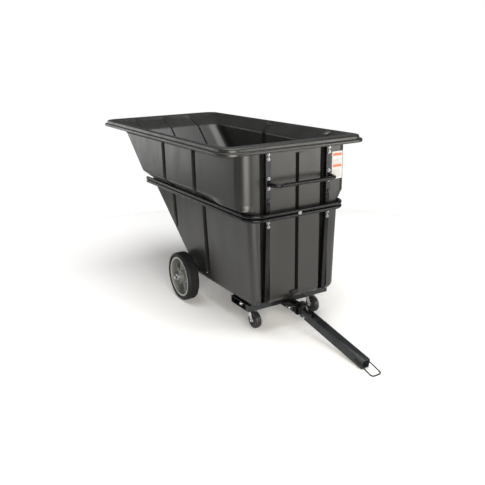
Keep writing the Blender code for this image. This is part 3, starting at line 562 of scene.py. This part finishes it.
def rim_sections():
    """The hooded rim: under the hood out to the lip, then back over the crest and down inside.

    Every row starts with its height. Shares run from 0 at the wall to 1 at the lip.
    """
    top = RIM_TOP
    # front share, side share, depth of the left ribs
    under = ((1.211, 0.0, 0.15, 0.9), (1.219, 0.01, 0.265, 0.7), (1.228, 0.03, 0.385, 0.4),
             (1.2345, 0.1, 0.47, 0.15))
    # distance inward of the lip: under the hood, and from the lip's foot over the crest
    hood = ((HOOD_Z, 0.034), (1.233, 0.029), (1.226, 0.0275), (1.2185, 0.025), (1.2125, 0.014),
            (1.206, 0.0105), (LIP_Z, 0.009))
    over = [(LIP_Z + rise, inward) for rise, inward in
            mm((0, 6), (0.8, 1.8), (3, 0), (10, 0.2), (16.5, 1), (19.2, 3.2), (20.5, 7.5), (20.8, 15),
               (22.2, 18.5), (26.2, 19.8), (32.5, 20), (38, 21), (42.2, 24.5))]
    over += [(top - 0.0006, 0.029), (top, 0.035)]
    # front, side and rear shares, then the depth of the ribs on the dump face and the left side
    flat = ((top, 0.85, 0.94, 0.97, 0), (top, 0.5, 0.86, 0.94, 0), (top, 0.2, 0.78, 0.92, 0),
            (top - 0.0006, 0.11, 0.735, 0.9, 0), (top - 0.003, 0.055, 0.69, 0.865, 0),
            (top - 0.0075, 0.018, 0.62, 0.8, 0.1), (top - 0.014, 0.0, 0.5, 0.725, 0.25),
            (top - 0.022, 0.0, 0.35, 0.64, 0.5), (1.213, 0.0, 0.147, 0.545, 0.75))
    rings = [(rim_level(z, 0.0, front, share, flare_share(z) * FLARE_HOLD, 0.0, left=left), 0.0)
             for z, front, share, left in under]
    rings.append((rim_level(HOOD_Z, HOOD_DEPTH, 0.55, 0.74, 0.9, 0.0), 0.0))
    rings += [(rim_level(z, inward, 1, 1, 1, 0.0), 0.0) for z, inward in hood]
    rings += [(rim_level(z, inward, 1, 1, 1, WALL), WALL) for z, inward in over]
    return rings + [(rim_level(z, HOOD_DEPTH, front, share, out, WALL, ribs, ribs), WALL)
                    for z, front, share, out, ribs in flat]


def skinned(shape, rings):
    """Faces between each two neighbouring rings."""
    for below, above in zip(rings, rings[1:]):
        for order in range(len(below)):
            after = (order + 1) % len(below)
            shape.faces.new((below[order], below[after], above[after], above[order]))


def make_tub():
    """Outer rings from the bottom up and out to the lip, then inner rings back down."""
    levels = [(level, 0.0) for level in wall_levels(0.0)] + rim_sections()
    levels += [(level, WALL) for level in reversed(wall_levels(WALL))]
    shape = bmesh.new()
    rings = [[shape.verts.new(point) for point in tub_ring(level, skin)] for level, skin in levels]
    skinned(shape, rings)
    shape.faces.new(reversed(rings[0]))
    shape.faces.new(rings[-1])
    wear(finish_mesh("tub_shell", shape, sharp=42), "tub")


# ---- bolts
def nut_stack(name, place):
    """A washer, a hex nut and the end of its bolt, standing on a face that looks along +X."""
    washer = turned("washer", mm((0, 2.2), (11.5, 2.2), (11.5, 0.3), (0, 0.3)), steps=24,
                    ease=0.0006)
    nut = extruded("nut", arc((0, 0), 0.0088, 12, 312, 5), 0.0062, (0, 0, 0.0053), UPRIGHT, 0.0008)
    end = turned("end", mm((0, 10.8), (4.6, 10.8), (5, 9.5), (5, 4), (0, 4)), steps=16, ease=0.0005)
    stack = joined(name, [washer, nut, end])
    stack.location, stack.rotation_euler = place, ALONG_X
    return stack


def make_bolts():
    """The nuts on the straps and posts, the black pads, and the button between the rails."""
    for side, _ in SIDES:
        for kind, held in (("bracket_bolt", "handle_bracket"), ("handle_bolt", "handle_bracket"),
                           ("post_bolt", "post")):
            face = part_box(f"{held}_{side}")[1].x
            for order in (1, 2):
                node = f"{kind}_{side}_{order}"
                _, y, z = middle_of(node)
                wear(nut_stack(node + "_nut", (face, y, z)), node, look="bolt_zinc")
        pad = mm((0, 12.5), (10.5, 12.5), (12.5, 3), (12.5, 0.3), (0, 0.3))
        wear(turned(f"bumper_pad_{side}", pad, rear_of(f"bumper_{side}"), ALONG_X, 24, 0.0035, 4),
             f"bumper_{side}")
    button = mm((0, 8.5), (7, 8), (9.5, 4), (13, 3), (13, 0.3), (0, 0.3))
    wear(turned("rail_centre_button", button, rear_of("rail_centre_bolt"), ALONG_X, 28, 0.0012),
         "rail_centre_bolt", look="bolt_zinc")


# ---- posts, straps, handle, rails
POST_DEPTH, RAIL_FRONT_HALF = 0.028, 0.3695


def make_posts():
    """Two bent upright bars, each with a strap on it."""
    low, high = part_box("post_left")
    front = high.x - FRONT_X
    back, foot_front = front - POST_DEPTH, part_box("front_crossmember")[1].x - FRONT_X
    outline = [(front, high.z), (back, high.z), (back, POST_BEND_Z), (back - POST_LEAN, POST_FOOT_Z),
               (foot_front - POST_DEPTH, low.z), (foot_front, low.z), (front - POST_LEAN, POST_FOOT_Z),
               (front, POST_BEND_Z)]
    for side, sign in SIDES:
        low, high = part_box(f"post_{side}")
        wear(extruded(f"post_bar_{side}", outline, high.y - low.y, (FRONT_X, sign * POST_Y, 0), ALONG_Y,
                      0.0025), f"post_{side}")
        wear(block(f"handle_strap_{side}", *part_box(f"handle_bracket_{side}"), 0.0012),
             f"handle_bracket_{side}")


def make_handle():
    """A bent tube with a weld bead round each end."""
    low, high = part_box("push_handle")
    radius, z = (high.z - low.z) / 2, (low.z + high.z) / 2
    reach, side = high.x - radius, high.y - radius
    corners = [(low.x, -side, z), (reach, -side, z), (reach, side, z), (low.x, side, z)]
    wear(wire("push_handle_tube", rounded(corners, 0.045, 10), radius, 7), "push_handle")
    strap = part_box("handle_bracket_left")[1].x
    weld = [(radius + out, up) for out, up in
            mm((0, 6.5), (1.6, 4), (4.5, 1.6), (6, 0.2), (0, 0.2), (0, 6.5))]
    for name, sign in SIDES:
        wear(turned(f"handle_weld_{name}", weld, (strap, sign * side, z), ALONG_X, 40),
             slot="black_steel", body="truck")


def make_rails():
    """Two bent tubes round the waist, with a cap in each end."""
    for node in ("waist_rail_upper", "waist_rail_lower"):
        low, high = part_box(node)
        radius, z = (high.z - low.z) / 2, (low.z + high.z) / 2
        front, half, spread = high.x - radius, RAIL_FRONT_HALF, high.y - radius
        corners = [(low.x, -spread, z), (front, -half, z), (front, half, z), (low.x, spread, z)]
        wear(wire(node + "_tube", rounded(corners, 0.095, 12), radius, 8), node)
        cap_r = radius * 0.985
        cap = [(0, 0.004), (cap_r, 0.004), (cap_r, -0.002), (0, -0.002)]
        for name, sign in SIDES:
            wear(turned(f"{node}_cap_{name}", cap, (low.x + 0.002, sign * spread, z),
                        (0, -math.pi / 2, 0), 32, 0.003), slot="black_plug", body="truck")


# ---- chassis
def section_outline(width, height, radius, steps=5):
    """A rectangle with rounded corners, centred."""
    x, y = width / 2 - radius, height / 2 - radius
    outline = []
    for corner_x, corner_y, start in ((x, y, 0), (-x, y, 90), (-x, -y, 180), (x, -y, 270)):
        outline += arc((corner_x, corner_y), radius, start, start + 90, steps)
    return outline


CHANNEL_WEB, CHANNEL_BOLT_X = 0.004, -0.187
GUSSET_HALF, SLEEVE_HALF = 0.105, 0.0303  # half the gusset's top, and half its slot


def make_chassis():
    """Cross-members, side channels with a bolt and a closed front end, the gusset and the latch."""
    low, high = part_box("front_crossmember")
    beam = section_outline(high.x - low.x, high.z - low.z, 0.006)
    wear(extruded("front_crossmember_tube", beam, high.y - low.y, middle_of("front_crossmember"), ALONG_Y,
                  0.0012), "front_crossmember")
    web = CHANNEL_WEB
    for side, sign in SIDES:
        low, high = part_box(f"side_member_{side}")
        x, _, z = middle_of(f"side_member_{side}")
        depth, height = high.y - low.y, high.z - low.z
        channel = [(0, 0), (depth, 0), (depth, web), (web, web), (web, height - web), (depth, height - web),
                   (depth, height), (0, height)]
        channel = [(sign * across, up - height / 2) for across, up in channel]
        inner = low.y if sign > 0 else high.y
        wear(extruded(f"side_channel_{side}", channel, high.x - low.x, (x, inner, z), ACROSS),
             f"side_member_{side}")
        bolt = mm((0, 33), (8.5, 33), (9, 25.5), (13, 25), (13, 22.5), (6, 22.5), (6, 0), (0, 0))
        wear(turned(f"channel_bolt_{side}", bolt, (FRONT_X + CHANNEL_BOLT_X, inner + sign * web, z),
                    (-sign * math.pi / 2, 0, 0), 20, 0.0012), slot="zinc", body="truck")
        wear(block(f"channel_end_{side}", low, (low.x + web, high.y, high.z), 0.0008),
             slot="black_steel", body="truck")
    wear(block("rear_crossmember_beam", *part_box("rear_crossmember"), 0.003), "rear_crossmember")
    low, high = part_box("hitch_plate")
    half, top = SLEEVE_HALF, HITCH_Z + SLEEVE_HALF
    outline = [(low.y, low.z), (-half, low.z), (-half, top), (half, top), (half, low.z),
               (high.y, low.z), (GUSSET_HALF, high.z), (-GUSSET_HALF, high.z)]
    wear(extruded("hitch_gusset", outline, high.x - low.x, (middle_of("hitch_plate").x, 0, 0), ACROSS,
                  0.0012), "hitch_plate")
    low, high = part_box("tub_stay")
    wear(joined("tub_latch", [
        block("latch_plate", low, (low.x + 0.006, high.y, high.z), 0.0015),
        block("latch_body", (low.x + 0.004, low.y + 0.006, low.z + 0.0015),
              (high.x, low.y + 0.032, high.z - 0.002), 0.003)]), "tub_stay")


# ---- axle and road wheels
AXLE = Vector(JOINTS["road_wheel_spin_left"]["pos_m"])
WHEEL_Y = AXLE.y
WHEEL_R, SEAT_R, HUB_HALF = 0.181, 0.1505, 0.05
AXLE_R, COLLAR_IN, COLLAR_OUT = 0.0125, 0.354, WHEEL_Y - HUB_HALF - 0.0006
CRADLE_R, CRADLE_FOOT = 0.03, 0.149
TYRE_HALF, GROOVE_Y = 0.044, 0.0165
SPOKES, SPOKE_TURN = 6, 12  # how many, and where the first window's middle is, in degrees
BARREL_R, WEB_HOLE_R = 0.135, 0.042


def cotter_path(x, y, top, foot):
    """A split pin: an eye over the axle and two legs bent apart below it."""
    eye = [(x + 0.005 * math.cos(a), y, top + 0.0045 * math.sin(a))
           for a in (math.radians(-60 + 300 * step / 12) for step in range(13))]
    leg = [(0.0011, top - 0.006), (0.001, foot + 0.012), (0.0016, foot + 0.006), (0.0075, foot + 0.0015)]
    return ([(x + out, y, z) for out, z in reversed(leg)] + eye + [(x - out, y, z) for out, z in leg])


def make_axle():
    """The axle with its two collars, and a washer, a split pin and a cradle plate per side."""
    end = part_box("axle")[1].y
    half = [(0, end), (0.0112, end), (AXLE_R, end - 0.0013), (AXLE_R, COLLAR_OUT), (0.0175, COLLAR_OUT),
            (0.018, COLLAR_OUT - 0.001), (0.018, COLLAR_IN + 0.001), (0.0175, COLLAR_IN),
            (AXLE_R, COLLAR_IN)]
    wear(turned("axle_bar", mirrored(half), (AXLE.x, 0, AXLE.z), ALONG_Y, 40), "axle")
    washer = mm((13, 1.5), (20, 1.5), (20, -1.5), (13, -1.5), (13, 1.5))
    for side, _ in SIDES:
        y = middle_of(f"axle_washer_{side}").y
        wear(turned(f"axle_washer_disc_{side}", washer, (AXLE.x, y, AXLE.z), ALONG_Y, 36, 0.0006),
             f"axle_washer_{side}")
        low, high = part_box(f"axle_cotter_{side}")
        x, y, _ = middle_of(f"axle_cotter_{side}")
        path = cotter_path(x, y, high.z - 0.005, low.z)
        wear(wire(f"axle_cotter_pin_{side}", path, 0.0013, 3), f"axle_cotter_{side}")
        low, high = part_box(f"axle_cradle_{side}")
        x, front = AXLE.x - FRONT_X, high.x - FRONT_X
        outline = [(front, max(low.z, CRADLE_FOOT)), (front, high.z), (x + 0.06, high.z),
                   *arc((x, AXLE.z), CRADLE_R, 75, 270, 20), (x + 0.05, CRADLE_FOOT)]
        wear(extruded(f"axle_cradle_plate_{side}", outline, high.y - low.y,
                      (FRONT_X, middle_of(f"axle_cradle_{side}").y, 0), ALONG_Y, 0.0015),
             f"axle_cradle_{side}")


def make_tyre(side, sign):
    """A solid ribbed tyre; its profile's height is the distance out from the wheel's middle."""
    bead = mm((1.2, 4), (5.5, 1.2), (9.5, 0.2), (11, 1.2), (12.5, 0.2))
    shoulder = mm((11, 0.8), (6.5, 3), (3, 6.8), (1.2, 11.5))
    groove = mm((0.2, 5.8), (0.2, 2.2), (2.8, 1.4), (2.8, -1.4), (0.2, -2.2), (0, -5.8))
    half = [(SEAT_R + out, TYRE_HALF - inset) for out, inset in bead]
    half += [(WHEEL_R - depth, TYRE_HALF - inset) for depth, inset in shoulder]
    half += [(WHEEL_R - depth, GROOVE_Y + across) for depth, across in groove]
    half += [(WHEEL_R - depth, across) for depth, across in groove[:3]]
    profile = mirrored(half)
    wear(turned(f"tyre_{side}", profile + profile[:1], (AXLE.x, sign * WHEEL_Y, AXLE.z),
                (-sign * math.pi / 2, 0, 0), 96, sharp=30), f"wheel_tyre_{side}")


def make_rim(side, sign):
    """A moulded wheel: barrel, hub, a web with windows, two flat strips along each spoke, and two lips in a
    lighter grey, a painted highlight.
    """
    location, turn = (AXLE.x, sign * WHEEL_Y, AXLE.z), (-sign * math.pi / 2, 0, 0)
    barrel = mirrored(mm((150.5, 34), (147.5, 37.2), (143.5, 38), (139.5, 36.8), (137, 33.5),
                         (135.2, 24), (134, 15)))
    hub = mirrored(mm((13, 50), (21.5, 50), (23.5, 48), (26.5, 34), (40, 25), (43, 20)))
    pieces = [turned("barrel", barrel + barrel[:1], steps=72),
              turned("hub", hub + hub[:1], steps=48, ease=0.002)]
    windows = []
    for order in range(SPOKES):
        middle = 360 * order / SPOKES + SPOKE_TURN
        windows.append(arc((0, 0), 0.12, middle - 19, middle + 19, 8)
                       + arc((0, 0), 0.06, middle + 12, middle - 12, 5))
    pieces.append(extruded("web", arc((0, 0), BARREL_R, 0, 354, 59), 0.007, (0, 0, 0.004), UPRIGHT, 0.0012,
                           holes=[*windows, arc((0, 0), WEB_HOLE_R, 0, 340, 17)]))
    for order in range(SPOKES):
        angle = math.radians(360 * order / SPOKES + SPOKE_TURN + 180 / SPOKES)
        for shift in (-0.0125, 0.0125):
            strip = extruded("strip", mm((38, -4), (135.5, -4), (135.5, 16), (100, 18.5), (60, 22.5),
                                         (38, 24)), 0.0042, ORIGIN, UPRIGHT)
            strip.matrix_world = Matrix.Rotation(angle, 4, "Z") @ Matrix.Translation((0, shift, 0))
            pieces.append(strip)
    wheel = joined(f"wheel_{side}", pieces)
    wheel.location, wheel.rotation_euler = location, turn
    wear(wheel, f"wheel_rim_{side}")
    # The two lips are painted a lighter grey than the wheel, a painted highlight along the rim's edge.
    lip = mm((137.5, 37.2), (139.5, 39.2), (143.5, 40.2), (147, 39.4), (149, 37.4), (137.5, 37.2))
    for face, out in (("outer", 1), ("inner", -1)):
        wear(turned(f"wheel_lip_{face}_{side}", [(radius, out * height) for radius, height in lip],
                    location, turn, 72), slot="wheel_hub", body=f"road_wheel_{side}", look="wheel_lip_painted_highlight")


# ---- casters
FORK_IN, FORK_OUT, LEG_Y = 0.0245, 0.0285, 0.0265
FORK_LENGTH, LEG_THICK = 0.05, 0.004
CASTER_HALF = 0.02  # half the roller's tread


def make_mount(side):
    """The plate under the tub with a bolt head at each corner."""
    low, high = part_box(f"caster_plate_{side}")
    pieces = [block("seat", low, high, 0.0012)]
    head = mm((0, 4.5), (6.5, 4.5), (6.8, 0), (0, 0))
    for across in (low.x + 0.012, high.x - 0.012):
        for along in (low.y + 0.012, high.y - 0.012):
            pieces.append(turned("seat_bolt", head, (across, along, low.z), (math.pi, 0, 0), 16, 0.001))
    wear(joined(f"caster_mount_{side}", pieces), f"caster_plate_{side}")
    return low.z


def make_fork(side, swivel, hub):
    """A bent bridge over the roller, a leg on each side of it, and the pressed dish of the race."""
    x, y = swivel.x, swivel.y
    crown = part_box(f"caster_fork_{side}")[1].z
    arch = [(FORK_OUT, crown - 0.012), *arc((FORK_OUT - 0.006, crown - 0.006), 0.006, 0, 90, 8)]
    arch += [(-across, up) for across, up in reversed(arch)]
    inside = [(FORK_IN - 0.0025, crown - 0.005), (FORK_IN, crown - 0.0075), (FORK_IN, crown - 0.012)]
    arch += [(-across, up) for across, up in reversed(inside)] + inside
    bridge = extruded("bridge", arch, FORK_LENGTH, (x + 0.001, y, 0), ACROSS)
    leg = [(-0.024, crown - 0.0115), (0.026, crown - 0.0115), *arc((hub.x - x, hub.z), 0.0125, 42, -135, 14)]
    legs = [extruded("leg", leg, LEG_THICK, (x, y + place, 0), ALONG_Y) for place in (-LEG_Y, LEG_Y)]
    dish = turned("dish", mm((7.5, 0.4), (18.5, 0.4), (20.5, -1), (7.5, -1), (7.5, 0.4)), (x, y, crown),
                  UPRIGHT, 32, 0.0004)
    wear(joined(f"caster_yoke_{side}", [bridge, *legs, dish]), f"caster_fork_{side}")


def make_caster(side, sign):
    """Plate, race, fork, roller and the roller's bolt, from the top down."""
    swivel = Vector(JOINTS[f"caster_swivel_{side}"]["pos_m"])
    hub = Vector(JOINTS[f"caster_spin_{side}"]["pos_m"])
    top = make_mount(side) - 0.0003
    race = [(radius, top - down) for radius, down in
            mm((0, 0), (23, 0), (23.2, 2), (20.5, 4.5), (23.5, 7), (22, 9.5), (8, 13.5))]
    race += mm((6, 121.5), (11, 121.2), (11, 117.2), (0, 117.2))
    wear(turned(f"caster_race_{side}", race, (swivel.x, swivel.y, 0), UPRIGHT, 40, 0.0008),
         f"caster_kingpin_{side}")
    make_fork(side, swivel, hub)
    disc = mm((5.6, 3), (13.5, 3), (15, -1), (20, -4.5), (36, -4.5), (40.5, -1), (42.5, 0))
    tread = [(out, CASTER_HALF + up) for out, up in disc]
    tread += [(hub.z - down, CASTER_HALF - inset) for down, inset in mm((6, 0.4), (2.5, 3), (0.5, 7.5))]
    tread = mirrored(tread + [(hub.z, 0.0)])
    wear(turned(f"caster_roller_{side}", tread + tread[:1], tuple(hub), ALONG_Y, 56),
         f"caster_wheel_{side}")
    bolt = mm((0, 35), (8.5, 35), (9, 34), (9, 29), (5, 29), (5, -29), (8.5, -29), (8.5, -35), (0, -36))
    wear(turned(f"caster_axle_{side}", bolt, tuple(hub), (sign * math.pi / 2, 0, 0), 24, 0.0006),
         f"caster_bolt_{side}")


# ---- hitch
TOW = Vector(JOINTS["tow_bar_pitch"]["pos_m"])
BAIL = Vector(JOINTS["tow_bail_fold"]["pos_m"])
TOW_HALF, TOW_TAIL, TOW_LENGTH = 0.03, 0.045, 0.548
TOW_ANGLE = math.asin((TOW.z - TOW_HALF * 0.9837) / TOW_LENGTH)
TOW_WALL, TOW_SLOT = 0.0045, 0.024  # the bar's wall, and half its slots over the lug
SHANK_HALF, CLIP_Y = 0.0255, -0.045
PIN_RING_Y, PIN_RING_R, PIN_RING_LEAN = -0.0415, 0.019, math.radians(212)
BAIL_LENGTH, BAIL_HALF, BAIL_R, BAIL_END = 0.1544, 0.036, 0.004, 0.023


def make_receiver():
    """The square sleeve and its forged collar, each with a square bore."""
    low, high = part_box("receiver_tube")
    half = (high.z - low.z) / 2
    outline = section_outline(2 * half, 2 * half, 0.007)
    bore = section_outline(2 * half - 0.008, 2 * half - 0.008, 0.004)[::-1]
    wear(extruded("receiver_sleeve", outline, high.x - low.x, (middle_of("receiver_tube").x, 0, HITCH_Z),
                  ACROSS, 0.0008, [bore]), "receiver_tube")
    low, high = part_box("receiver_collar")
    x, _, z = middle_of("receiver_collar")
    outline = section_outline(high.y - low.y, high.z - low.z, 0.022, 8)
    gap = 2 * (half + 0.0003)
    bore = [(across, up + HITCH_Z - z) for across, up in section_outline(gap, gap, 0.007)[::-1]]
    wear(extruded("receiver_ring", outline, high.x - low.x, (x, 0, z), ACROSS, 0.0045, [bore]),
         "receiver_collar")


def make_shank():
    """The draw bar's square shank, barrel and lug, and the pin and hairpin that hold it."""
    start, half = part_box("draw_shank")[0].x, SHANK_HALF
    bar = block("shank_bar", (start, -half, HITCH_Z - half), (FRONT_X + 0.075, half, HITCH_Z + half), 0.003)
    barrel = turned("barrel", mm((0, 42), (22.5, 42), (22.5, -42), (0, -42)),
                    (FRONT_X + 0.08, 0, HITCH_Z + 0.002), UPRIGHT, 40, 0.004, 4)
    lug = [(0.07, 0.15), *arc((TOW.x - FRONT_X, TOW.z), 0.024, 75, -90, 16), (0.07, 0.112)]
    nose = extruded("lug", lug, 0.038, (FRONT_X, 0, 0), ALONG_Y, 0.0025)
    wear(joined("draw_shank_forging", [bar, barrel, nose]), "draw_shank")
    x, y, z = middle_of("hitch_pin").x, CLIP_Y, HITCH_Z
    rod = mm((0, 46), (11, 46), (11, 38.5), (7, 38.5), (7, -52), (5, -55), (0, -55))
    wear(turned("hitch_pin_rod", rod, (x, 0, z), (-math.pi / 2, 0, 0), 32, 0.0012), "hitch_pin")
    clip = [(0.034, 0), (0.01, 0), *arc((-0.032, -0.0075), 0.0075, 90, 270, 12), (-0.02, -0.015)]
    clip += [(-0.014 + 0.003 * step, -0.015 + 0.0042 * math.sin(math.pi * step / 12))
             for step in range(13)]
    clip += [(0.026, -0.016), (0.034, -0.0185)]
    wear(wire("hitch_pin_hairpin", [(x + along, y, z + up) for along, up in clip], 0.0016, 3),
         "hitch_pin_clip")


def make_tow_bar():
    """Drawn level along +X from its pin, then swung down as the frame has it."""
    half, inside = TOW_HALF, TOW_HALF - TOW_WALL
    shape = bmesh.new()
    outline = section_outline(2 * half, 2 * half, 0.006, 4)
    inner = section_outline(2 * inside, 2 * inside, 0.002, 4)
    rings = [[shape.verts.new((x, y, z)) for y, z in loop]
             for loop, x in ((outline, -TOW_TAIL), (outline, TOW_LENGTH), (inner, TOW_LENGTH),
                             (inner, -TOW_TAIL))]
    skinned(shape, rings + rings[:1])
    bar = finish_mesh("tow_bar_tube", shape)
    back = -TOW_TAIL - 0.01
    cutters = [block("cut_top", (back, -TOW_SLOT, 0.0), (0.115, TOW_SLOT, half + 0.01)),
               block("cut_foot", (back, -TOW_SLOT, -half - 0.01), (0.035, TOW_SLOT, 0.0))]
    for cutter in cutters:
        cutter.modifiers.clear()
        step = bar.modifiers.new("cut", "BOOLEAN")
        step.operation, step.object, step.solver = "DIFFERENCE", cutter, "EXACT"
    bar = joined("tow_bar_section", [bevelled(bar, 0.0007, 2, 50)])
    for cutter in cutters:
        bpy.data.objects.remove(cutter)
    place = Matrix.Translation(TOW) @ Matrix.Rotation(TOW_ANGLE, 4, "Y")
    bar.matrix_world = place
    wear(bar, "tow_bar")
    rod = mm((0, 41), (11, 41), (11, 33.5), (6.3, 33.5), (6.3, -50), (4.5, -52), (0, -52))
    wear(turned("tow_pin_rod", rod, tuple(TOW), (-math.pi / 2, 0, 0), 32, 0.0012), "tow_pin")
    centre = (PIN_RING_R * math.cos(PIN_RING_LEAN), PIN_RING_R * math.sin(PIN_RING_LEAN))
    loop = [(x, PIN_RING_Y, z) for x, z in arc(centre, PIN_RING_R, 0, 360, 48)[:-1]]
    ring = wire("tow_pin_loop", loop, 0.0012, 3, closed=True)
    ring.matrix_world = place
    wear(ring, "tow_pin_ring")


def make_bail():
    """A bent wire loop whose far end lies on the floor."""
    drop = math.asin((BAIL.z - BAIL_R - 0.0003) / BAIL_LENGTH)
    half = [(0, -BAIL_END, 0), (0, -BAIL_HALF, 0), (BAIL_LENGTH, -BAIL_HALF, 0)]
    corners = half + [(x, -y, z) for x, y, z in reversed(half)]
    path = rounded(corners[:3], 0.006, 6)[:-1] + rounded(corners[1:5], 0.018, 10)[1:-1]
    path += rounded(corners[3:], 0.006, 6)[1:]
    bail = wire("tow_bail_wire", path, BAIL_R, 6)
    bail.matrix_world = Matrix.Translation(BAIL) @ Matrix.Rotation(drop, 4, "Y")
    wear(bail, "tow_bail", look="black_steel")


# ---- label
LABEL_THICK, PRINT_THICK = 0.0004, 0.0002
RULE_STEP, RULE_HALF, BAR_HALF, MARGIN = 0.0075, 0.001, 0.0085, 0.006
RULE_GAPS, BARS_DOWN, BAR_CLEAR = (7, 8, 16, 17), (0.02, 0.093), 0.013


def make_label():
    """A pale sheet with two orange bars and rows of plain grey rules, kept clear of the bars."""
    low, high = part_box("label")
    face = high.x
    wear(block("label_sheet", (face - LABEL_THICK, low.y, low.z), high, 0.0001, 1), "label")
    bars = [high.z - down for down in BARS_DOWN]
    rules = [low.z + 0.012 + RULE_STEP * order for order in range(19) if order not in RULE_GAPS]
    rules = [z for z in rules if all(abs(z - bar) > BAR_CLEAR for bar in bars)]
    rows = [(z, BAR_HALF, "label_orange") for z in bars] + [(z, RULE_HALF, "label_grey") for z in rules]
    for order, (z, half, look) in enumerate(rows):
        inset = MARGIN if half == BAR_HALF else 0.01 + 0.008 * (order % 3)
        bar = block(f"label_bar_{order + 1}", (face, low.y + MARGIN, z - half),
                    (face + PRINT_THICK, high.y - inset, z + half), 0.00005, 1)
        wear(bar, slot="label", body="truck", look=look)


# ---- camera, floor and light
CAMERA_PLACE, CAMERA_LENS, CAMERA_SENSOR = (3.604, -2.1935, 1.776), 44.26, 36.0
CAMERA_TURN = (31.07, 17.78, -1.1057)  # degrees off the long axis, down, and rolled


def make_camera():
    data = bpy.data.cameras.new("camera")
    data.lens, data.sensor_width = CAMERA_LENS, CAMERA_SENSOR
    camera = placed("camera", data)
    off, down, roll = (math.radians(value) for value in CAMERA_TURN)
    camera.matrix_world = (Matrix.Translation(CAMERA_PLACE) @ Matrix.Rotation(math.pi / 2 - off, 4, "Z")
                           @ Matrix.Rotation(math.pi / 2 - down, 4, "X") @ Matrix.Rotation(roll, 4, "Z"))
    bpy.context.scene.camera = camera


FLOOR_RADIUS = 2.8
FILL, TOP_RADIANCE, TOP_SIZE, TOP_HEIGHT = 0.2, 5.2, 4.0, 5.0
SOFTBOXES = (  # name, azimuth, distance, size, middle height, radiance, colour
    ("key", -26, 5.4, (3.4, 2.8), 1.42, 13.0, (1.0, 0.95, 0.87)),
    ("front", 40, 5.2, (3.8, 2.8), 1.42, 6.0, (1.0, 0.98, 0.92)),
    ("right", -92, 5.2, (2.4, 2.2), 1.3, 0.9, (1.0, 1.0, 0.98)),
    ("side", -152, 5.0, (3.0, 2.4), 1.3, 2.0, (1.0, 1.0, 0.98)))


def area_light(name, place, target, size, radiance, colour=(1, 1, 1)):
    data = bpy.data.lights.new(name, "AREA")
    data.shape, data.size, data.size_y = "RECTANGLE", *size
    data.energy, data.color = radiance * math.pi * size[0] * size[1], colour
    lamp = placed(name, data)
    lamp.location = place
    lamp.rotation_euler = (Vector(target) - Vector(place)).to_track_quat("-Z", "Y").to_euler()


def make_studio():
    """A round white floor that the camera sees run into white, four softboxes and a light above."""
    shape = bmesh.new()
    bmesh.ops.create_circle(shape, cap_ends=True, segments=96, radius=FLOOR_RADIUS)
    floor = finish_mesh("floor", shape)
    look = Look("floor", 0.9, 0.0, 0.1)
    look.colour(look.noise(0.7), ((0.3, (0.955, 0.955, 0.955)), (0.7, (0.97, 0.97, 0.97))))
    floor.data.materials.append(LOOKS["floor"])
    world = bpy.data.worlds.new("studio")
    world.use_nodes = True
    nodes, links = world.node_tree.nodes, world.node_tree.links
    backdrop, fill = nodes["Background"], nodes.new("ShaderNodeBackground")
    backdrop.inputs["Color"].default_value = fill.inputs["Color"].default_value = (1, 1, 1, 1)
    backdrop.inputs["Strength"].default_value, fill.inputs["Strength"].default_value = 1.0, FILL
    mix, seen = nodes.new("ShaderNodeMixShader"), nodes.new("ShaderNodeLightPath")
    links.new(seen.outputs["Is Camera Ray"], mix.inputs["Fac"])
    links.new(fill.outputs["Background"], mix.inputs[1])
    links.new(backdrop.outputs["Background"], mix.inputs[2])
    links.new(mix.outputs["Shader"], nodes["World Output"].inputs["Surface"])
    bpy.context.scene.world = world
    bpy.context.scene.view_settings.view_transform = "Standard"
    for name, azimuth, distance, size, middle, radiance, colour in SOFTBOXES:
        turn = math.radians(azimuth)
        place = (distance * math.cos(turn), distance * math.sin(turn), middle)
        area_light(name, place, (0.1, 0, middle), size, radiance, colour)
    area_light("top", (0, 0, TOP_HEIGHT), ORIGIN, (TOP_SIZE, TOP_SIZE), TOP_RADIANCE)


make_looks()
make_camera()
make_tub()
make_bolts()
make_posts()
make_handle()
make_rails()
make_chassis()
make_axle()
for side_name, side_sign in SIDES:
    make_tyre(side_name, side_sign)
    make_rim(side_name, side_sign)
    make_caster(side_name, side_sign)
make_receiver()
make_shank()
make_tow_bar()
make_bail()
make_label()
make_studio()

bpy.context.view_layer.update()
